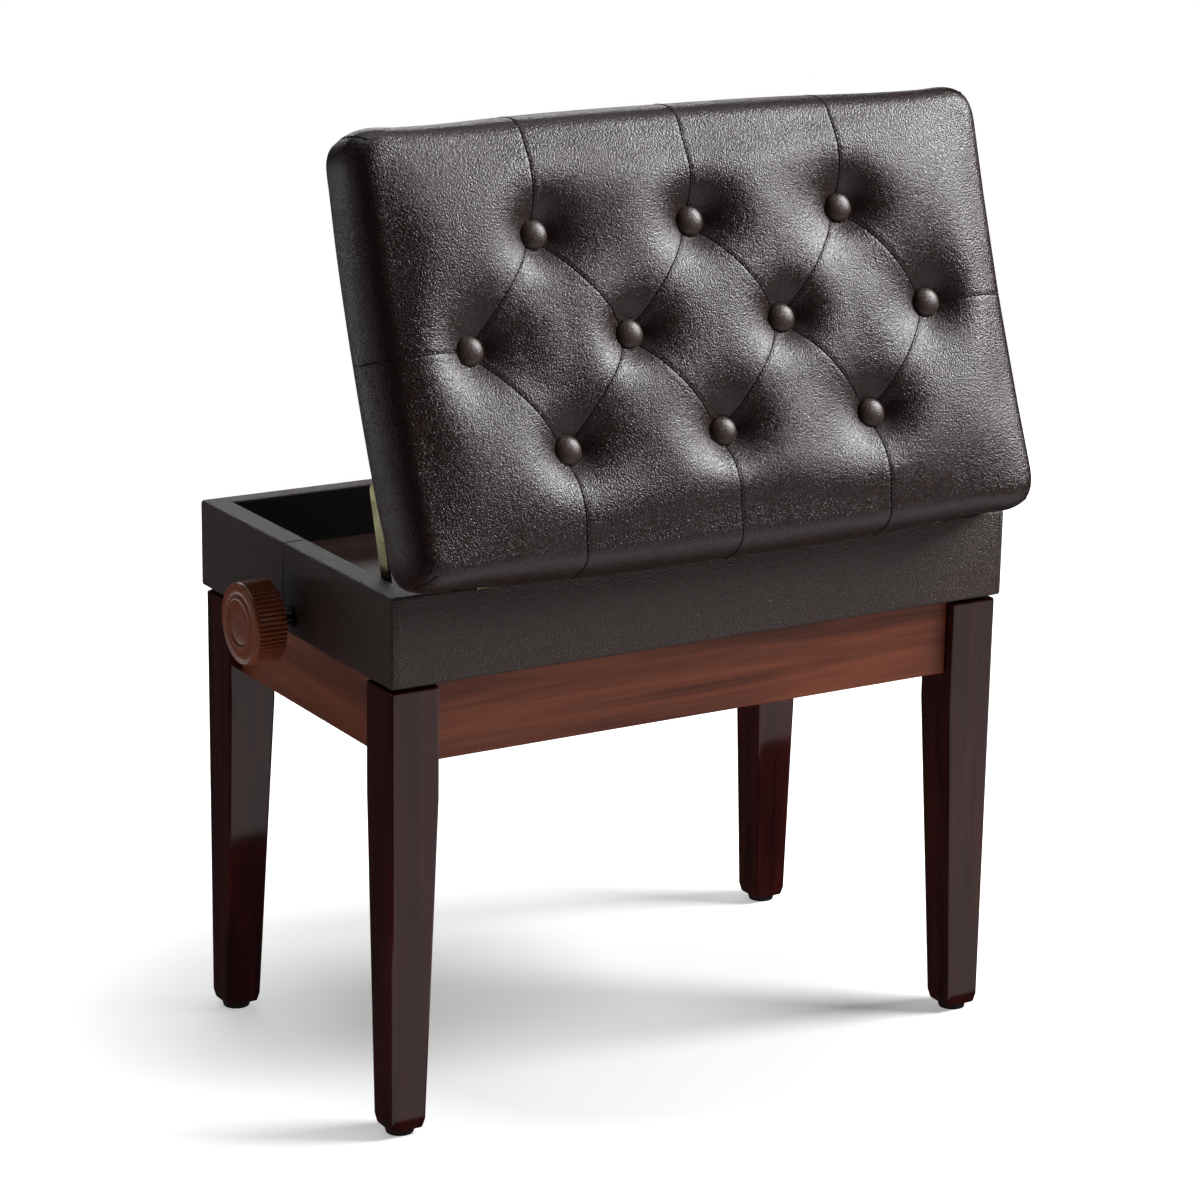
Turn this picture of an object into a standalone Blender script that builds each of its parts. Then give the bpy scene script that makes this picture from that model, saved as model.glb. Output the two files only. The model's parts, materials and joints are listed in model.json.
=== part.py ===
"""Piano bench with a rising seat box and a hinged, buttoned lid.

The bench stands on four legs. A screw with a knob on each end drives a scissor that lifts the seat box. The lid
of the box is a padded seat on two butt hinges, held open by a jointed stay.

Units are metres. X runs along the bench, -Y is the side that carries the hinges and +Z is up. The bench is drawn
about the middle of its seat box and then moved along Y, so that the origin lies under the middle of the whole
bench with its lid open.
"""
import math

import bmesh
import bpy
from mathutils import Matrix, Vector

# Whole bench
FRAME_SHIFT_Y = 0.02664
GAP = 0.0003

# Seat box
BOX_LENGTH = 0.550
BOX_WIDTH = 0.325
BOX_BOTTOM = 0.356
BOX_TOP = 0.426
END_WALL = 0.021
LONG_WALL = 0.0185
BOX_EDGE = 0.003
TRAY_FLOOR_TOP = 0.385
TRAY_FLOOR_THICKNESS = 0.004

# Legs
LEG_SIZE = 0.0405
LEG_TOP = 0.353
LEG_INSET_X = 0.0022
LEG_INSET_Y = 0.0045
LEG_TAPER_TOP = 0.266
LEG_FOOT_SIZE = 0.029
FOOT_BAND = 0.008
FOOT_BAND_INSET = 0.0016
LEG_EDGE = 0.002
LEG_CHAMFER = 0.010
LEG_CHAMFER_BOTTOM = 0.282
GLIDE_RADIUS = 0.0118
GLIDE_HEIGHT = 0.0045

# Aprons and corner brackets
APRON_INSET = 0.0131
APRON_THICKNESS = 0.018
APRON_BOTTOM = 0.293
APRON_TOP = 0.3555
BRACKET_BOTTOM = 0.304
BRACKET_HEIGHT = 0.042
BRACKET_THICKNESS = 0.002
BRACKET_FLANGE = 0.026

# Scissor
ARM_REACH = 0.300
ARM_WIDTH = 0.018
ARM_THICKNESS = 0.003
PIVOT_X = -0.150
LOWER_PIVOT_Z = 0.325
UPPER_PIVOT_Z = 0.362
RISING_ARM_Y = 0.1195
FALLING_ARM_Y = 0.1240
LOWER_SHAFT_RADIUS = 0.004
UPPER_SHAFT_RADIUS = 0.003
CENTRE_SHAFT_RADIUS = 0.004
CENTRE_CLEARANCE = 0.0018
TRUNNION_RADIUS = 0.0035
TRUNNION_SLOT_REACH = 0.0038
TRUNNION_SLOT_RISE = 0.0017
RAIL_LENGTH = 0.370
RAIL_THICKNESS = 0.003
LOWER_RAIL_HEIGHT = 0.030
UPPER_RAIL_BOTTOM = 0.3575
UPPER_RAIL_TOP = 0.3795
SLIDE_TRAVEL = 0.031
SLIDE_CLEARANCE = 0.0017

# Drive screw
SCREW_Z = 0.371
SCREW_RADIUS = 0.005
SCREW_HALF_LENGTH = 0.306
SCREW_HOLE_RADIUS = 0.0065
NUT_HALF_LENGTH = 0.012
NUT_HALF_WIDTH = 0.011
NUT_BOTTOM = 0.3545
NUT_TOP = 0.3795
KNOB_RADIUS = 0.0320
KNOB_REAR = 0.2935
KNOB_FACE = 0.320
KNOB_EDGE = 0.0028
KNOB_RING_RADIUS = 0.0190
KNOB_RING_WIDTH = 0.0034
KNOB_RING_RISE = 0.0010
KNOB_BORE_DEPTH = 0.0135

# Lid, measured from the hinge axis: V runs from the hinges to the free edge, N away from the box
LID_OPEN = math.radians(70.4)
HINGE_Y = -0.1659
HINGE_Z = 0.4277
BOARD_HALF_LENGTH = 0.271
BOARD_V = (0.0037, 0.330)
BOARD_N = (0.0017, 0.0137)
BOARD_CORNER = 0.010
CUSHION_HALF_LENGTH = 0.280
CUSHION_V = (-0.005, 0.338)
CUSHION_N = (0.0140, 0.0540)
CUSHION_CROWN = 0.010
CUSHION_EDGE = 0.011
BUTTON_PITCH = 0.135
BUTTON_ROW_V = 0.1665
BUTTON_ROW_PITCH = 0.080
BUTTON_RADIUS = 0.0116
BUTTON_N = 0.0365
BUTTON_HEIGHT = 0.0060
WELL_FLOOR_N = 0.0355
WELL_FLOOR_RADIUS = 0.0130
WELL_MOUTH_RADIUS = 0.0240

# Butt hinges
HINGE_CENTRE_X = 0.1825
HINGE_LENGTH = 0.051
KNUCKLES = 5
KNUCKLE_RADIUS = 0.0032
HINGE_PIN_RADIUS = 0.0013
LEAF_DEPTH = 0.0205
LEAF_N = (0.0002, 0.0014)

# Lid stay, measured from the hinge axis
STAY_PIVOT = (0.051, -0.024)
STAY_LOWER_REACH = 0.0859
STAY_UPPER_REACH = 0.0454
STAY_LID_PIVOT = (0.0943, -0.0079)
STAY_WIDTH = 0.013
STAY_THICKNESS = 0.002
STAY_PIN_RADIUS = 0.0022
STAY_HEAD_RADIUS = 0.0042
STAY_HEAD_HEIGHT = 0.0012
STAY_HOLE_CLEARANCE = 0.0022
STAY_WALL_PLATE = 0.0016
STAY_LAYER_GAP = 0.0004

SIDES = {"front": -1, "back": 1}
ENDS = {"left": -1, "right": 1}


# Scene, collections and materials

def clear_scene():
    for old in list(bpy.data.objects):
        bpy.data.objects.remove(old, do_unlink=True)


def new_collection(name):
    collection = bpy.data.collections.new(name)
    bpy.context.scene.collection.children.link(collection)
    return collection


def new_material(name, colour, roughness, metallic=0.0):
    material = bpy.data.materials.new(name)
    material.use_nodes = True
    shader = material.node_tree.nodes["Principled BSDF"]
    shader.inputs["Base Color"].default_value = (*colour, 1.0)
    shader.inputs["Roughness"].default_value = roughness
    shader.inputs["Metallic"].default_value = metallic
    return material


clear_scene()
PARTS = new_collection("piano_bench")
CUTTERS = new_collection("cutters")

LACQUER = new_material("leg_lacquer", (0.030, 0.010, 0.010), 0.15)
APRON_WOOD = new_material("apron_wood", (0.115, 0.040, 0.024), 0.35)
LEATHER = new_material("leather", (0.030, 0.020, 0.018), 0.45)
BOARD = new_material("board", (0.035, 0.016, 0.013), 0.60)
KNOB_PLASTIC = new_material("knob_plastic", (0.150, 0.045, 0.026), 0.25)
ZINC = new_material("yellow_zinc", (0.55, 0.42, 0.20), 0.35, 1.0)
STEEL = new_material("steel", (0.42, 0.42, 0.43), 0.40, 1.0)
RUBBER = new_material("rubber", (0.02, 0.018, 0.018), 0.60)


# Joint axes, as empties that carry the moving pieces

def new_axis(name, location, parent=None, turn_x=0.0, turn_y=0.0):
    empty = bpy.data.objects.new(name, None)
    PARTS.objects.link(empty)
    empty.parent = parent
    empty.location = location
    empty.rotation_euler = (turn_x, turn_y, 0.0)
    return empty


ARM_ANGLE = math.asin((UPPER_PIVOT_Z - LOWER_PIVOT_Z) / ARM_REACH)
SLIDE_X = PIVOT_X + ARM_REACH * math.cos(ARM_ANGLE)


def stay_elbow():
    """Elbow of the open stay: where the circles of its two arms meet, on the side away from the hinges."""
    pivot = Vector(STAY_PIVOT)
    v, n = STAY_LID_PIVOT
    lid_pivot = Vector((v * math.cos(LID_OPEN) - n * math.sin(LID_OPEN),
                        v * math.sin(LID_OPEN) + n * math.cos(LID_OPEN)))
    line = lid_pivot - pivot
    along = (STAY_LOWER_REACH ** 2 - STAY_UPPER_REACH ** 2 + line.length_squared) / (2 * line.length)
    across = math.sqrt(STAY_LOWER_REACH ** 2 - along ** 2)
    unit = line.normalized()
    elbow = pivot + unit * along + Vector((unit.y, -unit.x)) * across
    return pivot, elbow, lid_pivot


def stay_angles():
    pivot, elbow, lid_pivot = stay_elbow()
    lower = math.atan2(elbow.y - pivot.y, elbow.x - pivot.x)
    upper = math.atan2(lid_pivot.y - elbow.y, lid_pivot.x - elbow.x)
    return lower, upper


STAY_LOWER_ANGLE, STAY_UPPER_ANGLE = stay_angles()

BENCH = new_axis("bench_origin", (0.0, FRAME_SHIFT_Y, 0.0))
RISING = new_axis("rising_arm_axis", (PIVOT_X, 0.0, LOWER_PIVOT_Z), BENCH, turn_y=-ARM_ANGLE)
FALLING = new_axis("falling_arm_axis", (PIVOT_X, 0.0, UPPER_PIVOT_Z), BENCH, turn_y=ARM_ANGLE)
SCREW = new_axis("drive_screw_axis", (0.0, 0.0, SCREW_Z), BENCH)
HINGE = new_axis("hinge_axis", (0.0, HINGE_Y, HINGE_Z), BENCH)
LID = new_axis("lid_axis", (0.0, 0.0, 0.0), HINGE, turn_x=LID_OPEN)
STAY_LOWER = new_axis("stay_lower_axis", (0.0, *STAY_PIVOT), HINGE, turn_x=STAY_LOWER_ANGLE)
STAY_UPPER = new_axis("stay_upper_axis", (0.0, STAY_LOWER_REACH, 0.0), STAY_LOWER,
                      turn_x=STAY_UPPER_ANGLE - STAY_LOWER_ANGLE)


# Modelling tools

ALONG_X = Matrix.Rotation(math.radians(90), 4, "Y")
ALONG_Y = Matrix.Rotation(math.radians(-90), 4, "X")
ALONG_Z = Matrix.Identity(4)
FACING_Y = (math.radians(90), 0.0, 0.0)
FACING_X = Matrix(((0, 0, 1), (1, 0, 0), (0, 1, 0))).to_euler()


def add_object(name, data, parent, material, location=(0.0, 0.0, 0.0)):
    data.materials.append(material)
    item = bpy.data.objects.new(name, data)
    PARTS.objects.link(item)
    item.parent = parent
    item.location = location
    return item


def add_cutter(name, mesh, parent, location=(0.0, 0.0, 0.0)):
    cutter = bpy.data.objects.new(name, mesh)
    CUTTERS.objects.link(cutter)
    cutter.parent = parent
    cutter.location = location
    cutter.hide_render = True
    cutter.display_type = "WIRE"
    return cutter


def to_mesh(name, shape, smooth_angle=None):
    mesh = bpy.data.meshes.new(name)
    shape.to_mesh(mesh)
    shape.free()
    if smooth_angle:
        mesh.shade_smooth()
        mesh.set_sharp_from_angle(angle=smooth_angle)
    return mesh


def box_mesh(name, size):
    shape = bmesh.new()
    bmesh.ops.create_cube(shape, size=1.0)
    bmesh.ops.scale(shape, vec=size, verts=shape.verts)
    return to_mesh(name, shape)


def round_mesh(name, axis, radius, length, segments, far_radius=None):
    shape = bmesh.new()
    end_radius = radius if far_radius is None else far_radius
    bmesh.ops.create_cone(shape, cap_ends=True, segments=segments, radius1=radius, radius2=end_radius,
                          depth=length, matrix=axis)
    return to_mesh(name, shape, math.radians(40))


def middle(low, high):
    return [(a + b) / 2 for a, b in zip(low, high)]


def extent(low, high):
    return [b - a for a, b in zip(low, high)]


def add_bevel(item, width, segments=1):
    bevel = item.modifiers.new("rounded_edges", "BEVEL")
    bevel.width = width
    bevel.segments = segments
    bevel.limit_method = "ANGLE"
    bevel.angle_limit = math.radians(40)


def add_boolean(item, other, operation="DIFFERENCE"):
    boolean = item.modifiers.new(other.name, "BOOLEAN")
    boolean.operation = operation
    boolean.object = other
    boolean.solver = "EXACT"


def add_box(name, low, high, parent, material, bevel=0.0, segments=1):
    item = add_object(name, box_mesh(name, extent(low, high)), parent, material, middle(low, high))
    if bevel:
        add_bevel(item, bevel, segments)
    return item


def add_rod(name, axis, radius, length, centre, parent, material, segments=16):
    return add_object(name, round_mesh(name, axis, radius, length, segments), parent, material, centre)


def stadium(start, end, radius, steps=8):
    """Outline of a bar with round ends between two points, or a circle where the points are the same."""
    start, end = Vector(start), Vector(end)
    heading = math.atan2(end.y - start.y, end.x - start.x)
    points = []
    for centre, first in ((end, heading - math.pi / 2), (start, heading + math.pi / 2)):
        for step in range(steps + (start != end)):
            angle = first + math.pi * step / steps
            points.append((centre.x + radius * math.cos(angle), centre.y + radius * math.sin(angle)))
    return points


def rounded_outline(half_length, half_width, radius, steps=4):
    """Outline of a rectangle with round corners, about its middle."""
    points = []
    for quarter in range(4):
        corner_x = (half_length - radius) * (1 if quarter in (0, 3) else -1)
        corner_y = (half_width - radius) * (1 if quarter < 2 else -1)
        for step in range(steps + 1):
            angle = math.pi / 2 * (quarter + step / steps)
            points.append((corner_x + radius * math.cos(angle), corner_y + radius * math.sin(angle)))
    return points


def add_plate(name, outlines, thickness, parent, material, location, facing=(0.0, 0.0, 0.0)):
    """Flat plate from a filled outline, with each further outline a hole through it."""
    curve = bpy.data.curves.new(name, "CURVE")
    curve.dimensions = "2D"
    curve.fill_mode = "BOTH"
    curve.extrude = thickness / 2
    for outline in outlines:
        spline = curve.splines.new("POLY")
        spline.points.add(len(outline) - 1)
        for point, (x, y) in zip(spline.points, outline):
            point.co = (x, y, 0.0, 1.0)
        spline.use_cyclic_u = True
    plate = add_object(name, curve, parent, material, location)
    plate.rotation_euler = facing
    return plate


def add_turned(name, profile, axis_turn, parent, material, location, steps):
    """Turned solid: the profile gives radius and height, from the top of its outer side down."""
    shape = bmesh.new()
    verts = [shape.verts.new((radius, 0.0, height)) for radius, height in profile]
    for first, second in zip(verts, verts[1:]):
        shape.edges.new((first, second))
    item = add_object(name, to_mesh(name, shape), parent, material, location)
    item.rotation_euler = axis_turn
    screw = item.modifiers.new("turned", "SCREW")
    screw.steps = steps
    screw.render_steps = steps
    screw.use_merge_vertices = True
    screw.merge_threshold = 0.00001
    screw.use_smooth_shade = True
    return item


# Leg frame

def make_leg(name, end, side):
    """Square leg: straight beside the aprons, then tapered on its two inner faces down to the foot."""
    outer_x = BOX_LENGTH / 2 - LEG_INSET_X
    outer_y = BOX_WIDTH / 2 - LEG_INSET_Y
    height = LEG_TOP - GLIDE_HEIGHT
    shape = bmesh.new()
    bmesh.ops.create_cube(shape, size=1.0)
    bmesh.ops.scale(shape, vec=(LEG_SIZE, LEG_SIZE, height), verts=shape.verts)
    bmesh.ops.translate(shape, vec=(-LEG_SIZE / 2, -LEG_SIZE / 2, GLIDE_HEIGHT + height / 2), verts=shape.verts)
    for level in (LEG_TAPER_TOP, GLIDE_HEIGHT + FOOT_BAND):
        bmesh.ops.bisect_plane(shape, geom=shape.verts[:] + shape.edges[:] + shape.faces[:],
                               plane_co=(0, 0, level), plane_no=(0, 0, 1))
    for vert in shape.verts:
        narrowing = taper_at(vert.co.z)
        foot = FOOT_BAND_INSET if vert.co.z < GLIDE_HEIGHT + GAP else 0.0
        for axis in (0, 1):
            inner = vert.co[axis] < -LEG_SIZE / 2
            vert.co[axis] += narrowing + foot if inner else -foot
    bmesh.ops.scale(shape, vec=(end, side, 1), verts=shape.verts)
    if end * side < 0:
        bmesh.ops.reverse_faces(shape, faces=shape.faces)
    leg = add_object(name, to_mesh(name, shape), BENCH, LACQUER, (end * outer_x, side * outer_y, 0.0))
    add_bevel(leg, LEG_EDGE, 2)
    chamfer_height = 2 * (LEG_TOP - LEG_CHAMFER_BOTTOM)
    cutter = add_cutter(name + "_chamfer", box_mesh(name + "_chamfer", (LEG_CHAMFER * math.sqrt(2),
                        LEG_CHAMFER * math.sqrt(2), chamfer_height)), BENCH)
    cutter.location = (end * (outer_x - LEG_SIZE), side * (outer_y - LEG_SIZE), LEG_TOP)
    cutter.rotation_euler = (0.0, 0.0, math.radians(45))
    add_boolean(leg, cutter)


def taper_at(height):
    """How far the leg's inner faces have come out at a height."""
    fraction = min(max((LEG_TAPER_TOP - height) / LEG_TAPER_TOP, 0.0), 1.0)
    return (LEG_SIZE - LEG_FOOT_SIZE) * fraction


def make_glide(name, end, side):
    centre = (LEG_SIZE - taper_at(GLIDE_HEIGHT)) / 2
    x = end * (BOX_LENGTH / 2 - LEG_INSET_X - centre)
    y = side * (BOX_WIDTH / 2 - LEG_INSET_Y - centre)
    height = GLIDE_HEIGHT - GAP
    mesh = round_mesh(name, ALONG_Z, GLIDE_RADIUS - 0.0012, height, 20, GLIDE_RADIUS)
    add_object(name, mesh, BENCH, RUBBER, (x, y, height / 2))


def make_aprons():
    leg_x = BOX_LENGTH / 2 - LEG_INSET_X - LEG_SIZE - GAP
    leg_y = BOX_WIDTH / 2 - LEG_INSET_Y - LEG_SIZE - GAP
    outer_x = BOX_LENGTH / 2 - APRON_INSET
    outer_y = BOX_WIDTH / 2 - APRON_INSET
    for word, side in SIDES.items():
        near, far = sorted((side * outer_y, side * (outer_y - APRON_THICKNESS)))
        add_box("apron_" + word, (-leg_x, near, APRON_BOTTOM), (leg_x, far, APRON_TOP), BENCH, APRON_WOOD,
                bevel=0.001)
    for word, end in ENDS.items():
        near, far = sorted((end * outer_x, end * (outer_x - APRON_THICKNESS)))
        add_box("apron_" + word, (near, -leg_y, APRON_BOTTOM), (far, leg_y, APRON_TOP), BENCH, APRON_WOOD,
                bevel=0.001)


def make_corner_bracket(name, end, side):
    """Bent strip that crosses the leg's chamfer and lies along both aprons."""
    wall_x = BOX_LENGTH / 2 - APRON_INSET - APRON_THICKNESS - GAP
    wall_y = BOX_WIDTH / 2 - APRON_INSET - APRON_THICKNESS - GAP
    leg_corner = BOX_LENGTH / 2 - LEG_INSET_X + BOX_WIDTH / 2 - LEG_INSET_Y - 2 * LEG_SIZE
    reach = leg_corner + LEG_CHAMFER - 2 * GAP
    bend = BRACKET_THICKNESS * (math.sqrt(2) - 1)
    outer = [(reach - wall_y - BRACKET_FLANGE, wall_y), (reach - wall_y, wall_y),
             (wall_x, reach - wall_x), (wall_x, reach - wall_x - BRACKET_FLANGE)]
    inner = [(wall_x - BRACKET_THICKNESS, outer[3][1]), (wall_x - BRACKET_THICKNESS, outer[2][1] - bend),
             (outer[1][0] - bend, wall_y - BRACKET_THICKNESS), (outer[0][0], wall_y - BRACKET_THICKNESS)]
    outline = [(end * x, side * y) for x, y in outer + inner]
    add_plate(name, [outline], BRACKET_HEIGHT, BENCH, STEEL, (0.0, 0.0, BRACKET_BOTTOM + BRACKET_HEIGHT / 2))


def make_leg_frame():
    for side_word, side in SIDES.items():
        for end_word, end in ENDS.items():
            corner = side_word + "_" + end_word
            make_leg("leg_" + corner, end, side)
            make_glide("glide_" + corner, end, side)
            make_corner_bracket("corner_bracket_" + corner, end, side)
    make_aprons()
    apron_face = BOX_WIDTH / 2 - APRON_INSET - APRON_THICKNESS - GAP
    slot_low = (SLIDE_X - SLIDE_TRAVEL - SLIDE_CLEARANCE, 0.0)
    slot_high = (SLIDE_X + SLIDE_CLEARANCE, 0.0)
    slot = stadium(slot_low, slot_high, LOWER_SHAFT_RADIUS + SLIDE_CLEARANCE)
    pivot_hole = stadium((PIVOT_X, 0.0), (PIVOT_X, 0.0), LOWER_SHAFT_RADIUS + GAP)
    for word, side in SIDES.items():
        make_rail("lower_rail_" + word, side * (apron_face - RAIL_THICKNESS / 2),
                  LOWER_PIVOT_Z, LOWER_RAIL_HEIGHT / 2, LOWER_RAIL_HEIGHT / 2, [slot, pivot_hole])
    add_rod("lower_pivot_shaft", ALONG_Y, LOWER_SHAFT_RADIUS, 2 * (apron_face - GAP),
            (PIVOT_X, 0.0, LOWER_PIVOT_Z), BENCH, STEEL)


def make_rail(name, y, z, below, above, holes):
    """Flat slotted bar along a long wall, with its outline drawn about the height of its pivot."""
    half = RAIL_LENGTH / 2
    outline = [(-half, -below), (half, -below), (half, above), (-half, above)]
    add_plate(name, [outline] + holes, RAIL_THICKNESS, BENCH, STEEL, (0.0, y, z), FACING_Y)


# Scissor

def make_arm(name, y, holes, parent):
    outline = stadium((0.0, 0.0), (ARM_REACH, 0.0), ARM_WIDTH / 2)
    add_plate(name, [outline] + holes, ARM_THICKNESS, parent, STEEL, (0.0, y, 0.0), FACING_Y)


def hole(x, radius):
    return stadium((x, 0.0), (x, 0.0), radius)


def make_scissor():
    trunnion_slot = stadium((ARM_REACH - TRUNNION_SLOT_REACH, 0.0), (ARM_REACH + TRUNNION_SLOT_REACH, 0.0),
                            TRUNNION_RADIUS + TRUNNION_SLOT_RISE)
    rising_holes = [hole(0.0, LOWER_SHAFT_RADIUS + GAP), hole(ARM_REACH / 2, CENTRE_SHAFT_RADIUS + GAP),
                    trunnion_slot]
    falling_holes = [hole(0.0, UPPER_SHAFT_RADIUS + GAP),
                     hole(ARM_REACH / 2, CENTRE_SHAFT_RADIUS + CENTRE_CLEARANCE),
                     hole(ARM_REACH, LOWER_SHAFT_RADIUS + GAP)]
    for word, side in SIDES.items():
        make_arm("rising_arm_" + word, side * RISING_ARM_Y, rising_holes, RISING)
        make_arm("falling_arm_" + word, side * FALLING_ARM_Y, falling_holes, FALLING)
    apron_face = BOX_WIDTH / 2 - APRON_INSET - APRON_THICKNESS - GAP
    centre_length = 2 * (FALLING_ARM_Y + ARM_THICKNESS / 2 + 0.001)
    add_rod("centre_pivot_shaft", ALONG_Y, CENTRE_SHAFT_RADIUS, centre_length,
            (ARM_REACH / 2, 0.0, 0.0), RISING, STEEL)
    add_rod("lower_slide_shaft", ALONG_Y, LOWER_SHAFT_RADIUS, 2 * (apron_face - GAP),
            (ARM_REACH, 0.0, 0.0), FALLING, STEEL)


# Drive screw

def make_drive_nut():
    """Tapped block on a cross bar, whose ends slide in the upper rails and push the rising arms."""
    low = (SLIDE_X - NUT_HALF_LENGTH, -NUT_HALF_WIDTH, NUT_BOTTOM)
    high = (SLIDE_X + NUT_HALF_LENGTH, NUT_HALF_WIDTH, NUT_TOP)
    block = add_box("drive_nut", low, high, BENCH, STEEL)
    bar_length = 2 * (BOX_WIDTH / 2 - LONG_WALL - 2 * GAP)
    bar = add_cutter("drive_nut_bar", round_mesh("drive_nut_bar", ALONG_Y, TRUNNION_RADIUS, bar_length, 16),
                     BENCH, (SLIDE_X, 0.0, UPPER_PIVOT_Z))
    bore = add_cutter("drive_nut_bore", round_mesh("drive_nut_bore", ALONG_X, SCREW_RADIUS + GAP,
                      4 * NUT_HALF_LENGTH, 16), BENCH, (SLIDE_X, 0.0, SCREW_Z))
    add_boolean(block, bar, "UNION")
    add_boolean(block, bore)


def make_knob(name, end):
    """Turned knob with a rounded rim, a raised ring round a flat centre, and a blind bore for the screw."""
    depth = KNOB_FACE - KNOB_REAR
    ring_out = KNOB_RING_RADIUS + KNOB_RING_WIDTH / 2
    ring_in = KNOB_RING_RADIUS - KNOB_RING_WIDTH / 2
    bore = SCREW_RADIUS + GAP
    profile = [(0.0, depth - KNOB_RING_RISE), (ring_in - KNOB_RING_RISE, depth - KNOB_RING_RISE),
               (ring_in, depth), (ring_out, depth),
               (ring_out + KNOB_RING_RISE, depth - KNOB_RING_RISE),
               (KNOB_RADIUS - KNOB_EDGE, depth - KNOB_RING_RISE),
               (KNOB_RADIUS - KNOB_EDGE * 0.3, depth - KNOB_RING_RISE - KNOB_EDGE * 0.3),
               (KNOB_RADIUS, depth - KNOB_RING_RISE - KNOB_EDGE),
               (KNOB_RADIUS, 0.0), (bore, 0.0), (bore, KNOB_BORE_DEPTH), (0.0, KNOB_BORE_DEPTH)]
    turn = (0.0, end * math.radians(90), 0.0)
    add_turned(name, profile, turn, SCREW, KNOB_PLASTIC, (end * KNOB_REAR, 0.0, 0.0), 40)


def make_drive_screw():
    add_rod("drive_screw_rod", ALONG_X, SCREW_RADIUS, 2 * SCREW_HALF_LENGTH, (0.0, 0.0, 0.0), SCREW, STEEL)
    for word, end in ENDS.items():
        make_knob("knob_" + word, end)


# Seat box

def make_box_panels():
    half_length = BOX_LENGTH / 2
    half_width = BOX_WIDTH / 2
    for word, end in ENDS.items():
        near, far = sorted((end * half_length, end * (half_length - END_WALL)))
        panel = add_box("box_panel_" + word, (near, -half_width, BOX_BOTTOM), (far, half_width, BOX_TOP),
                        BENCH, LEATHER, BOX_EDGE, 2)
        hole_name = "screw_hole_" + word
        screw_hole = add_cutter(hole_name, round_mesh(hole_name, ALONG_X, SCREW_HOLE_RADIUS, 4 * END_WALL, 16),
                                BENCH, (end * half_length, 0.0, SCREW_Z))
        add_boolean(panel, screw_hole)
    inner_x = half_length - END_WALL - GAP
    for word, side in SIDES.items():
        near, far = sorted((side * half_width, side * (half_width - LONG_WALL)))
        add_box("box_panel_" + word, (-inner_x, near, BOX_BOTTOM), (inner_x, far, BOX_TOP), BENCH, LEATHER,
                0.0015, 1)


def make_tray_floor():
    x = BOX_LENGTH / 2 - END_WALL - GAP
    y = BOX_WIDTH / 2 - LONG_WALL - GAP
    add_box("tray_floor", (-x, -y, TRAY_FLOOR_TOP - TRAY_FLOOR_THICKNESS), (x, y, TRAY_FLOOR_TOP), BENCH, BOARD)


def make_upper_rails():
    wall_face = BOX_WIDTH / 2 - LONG_WALL - GAP
    slot = stadium((SLIDE_X - SLIDE_TRAVEL, 0.0), (SLIDE_X + GAP, 0.0), TRUNNION_RADIUS + GAP)
    pivot_hole = hole(PIVOT_X, UPPER_SHAFT_RADIUS + GAP)
    for word, side in SIDES.items():
        make_rail("upper_rail_" + word, side * (wall_face - RAIL_THICKNESS / 2), UPPER_PIVOT_Z,
                  UPPER_PIVOT_Z - UPPER_RAIL_BOTTOM, UPPER_RAIL_TOP - UPPER_PIVOT_Z, [slot, pivot_hole])
    add_rod("upper_pivot_shaft", ALONG_Y, UPPER_SHAFT_RADIUS, 2 * (wall_face - GAP),
            (PIVOT_X, 0.0, UPPER_PIVOT_Z), BENCH, STEEL)


# Lid and its buttons

def make_cushion():
    """Crowned pad with rounded edges and a conical well for each button."""
    shape = bmesh.new()
    bmesh.ops.create_cube(shape, size=1.0)
    for axis, cuts in ((0, 5), (1, 3)):
        for cut in range(1, cuts + 1):
            position = [0.0, 0.0, 0.0]
            position[axis] = cut / (cuts + 1) - 0.5
            normal = [0.0, 0.0, 0.0]
            normal[axis] = 1.0
            bmesh.ops.bisect_plane(shape, geom=shape.verts[:] + shape.edges[:] + shape.faces[:],
                                   plane_co=position, plane_no=normal)
    low = (-CUSHION_HALF_LENGTH, CUSHION_V[0], CUSHION_N[0])
    high = (CUSHION_HALF_LENGTH, CUSHION_V[1], CUSHION_N[1])
    for vert in shape.verts:
        if vert.co.z > 0:
            crown = math.cos(math.pi * vert.co.x) * math.cos(math.pi * vert.co.y)
            vert.co.z += CUSHION_CROWN / extent(low, high)[2] * math.sqrt(max(crown, 0.0))
    bmesh.ops.scale(shape, vec=extent(low, high), verts=shape.verts)
    cushion = add_object("lid_cushion", to_mesh("lid_cushion", shape), LID, LEATHER, middle(low, high))
    add_bevel(cushion, CUSHION_EDGE, 3)
    wells = bmesh.new()
    depth = CUSHION_N[1] + CUSHION_CROWN * 1.5 - WELL_FLOOR_N
    mouth = WELL_FLOOR_RADIUS + (WELL_MOUTH_RADIUS - WELL_FLOOR_RADIUS) * 1.3
    for x, v in button_places():
        place = Matrix.Translation((x, v, WELL_FLOOR_N + depth / 2))
        bmesh.ops.create_cone(wells, cap_ends=True, segments=20, radius1=WELL_FLOOR_RADIUS, radius2=mouth,
                              depth=depth, matrix=place)
    add_boolean(cushion, add_cutter("button_wells", to_mesh("button_wells", wells), LID))


def button_places():
    """Three rows in a diamond pattern: three buttons, four buttons, three buttons."""
    places = []
    for row, count in ((-1, 3), (0, 4), (1, 3)):
        for index in range(count):
            x = (index - (count - 1) / 2) * BUTTON_PITCH
            places.append((x, BUTTON_ROW_V + row * BUTTON_ROW_PITCH))
    return places


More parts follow.
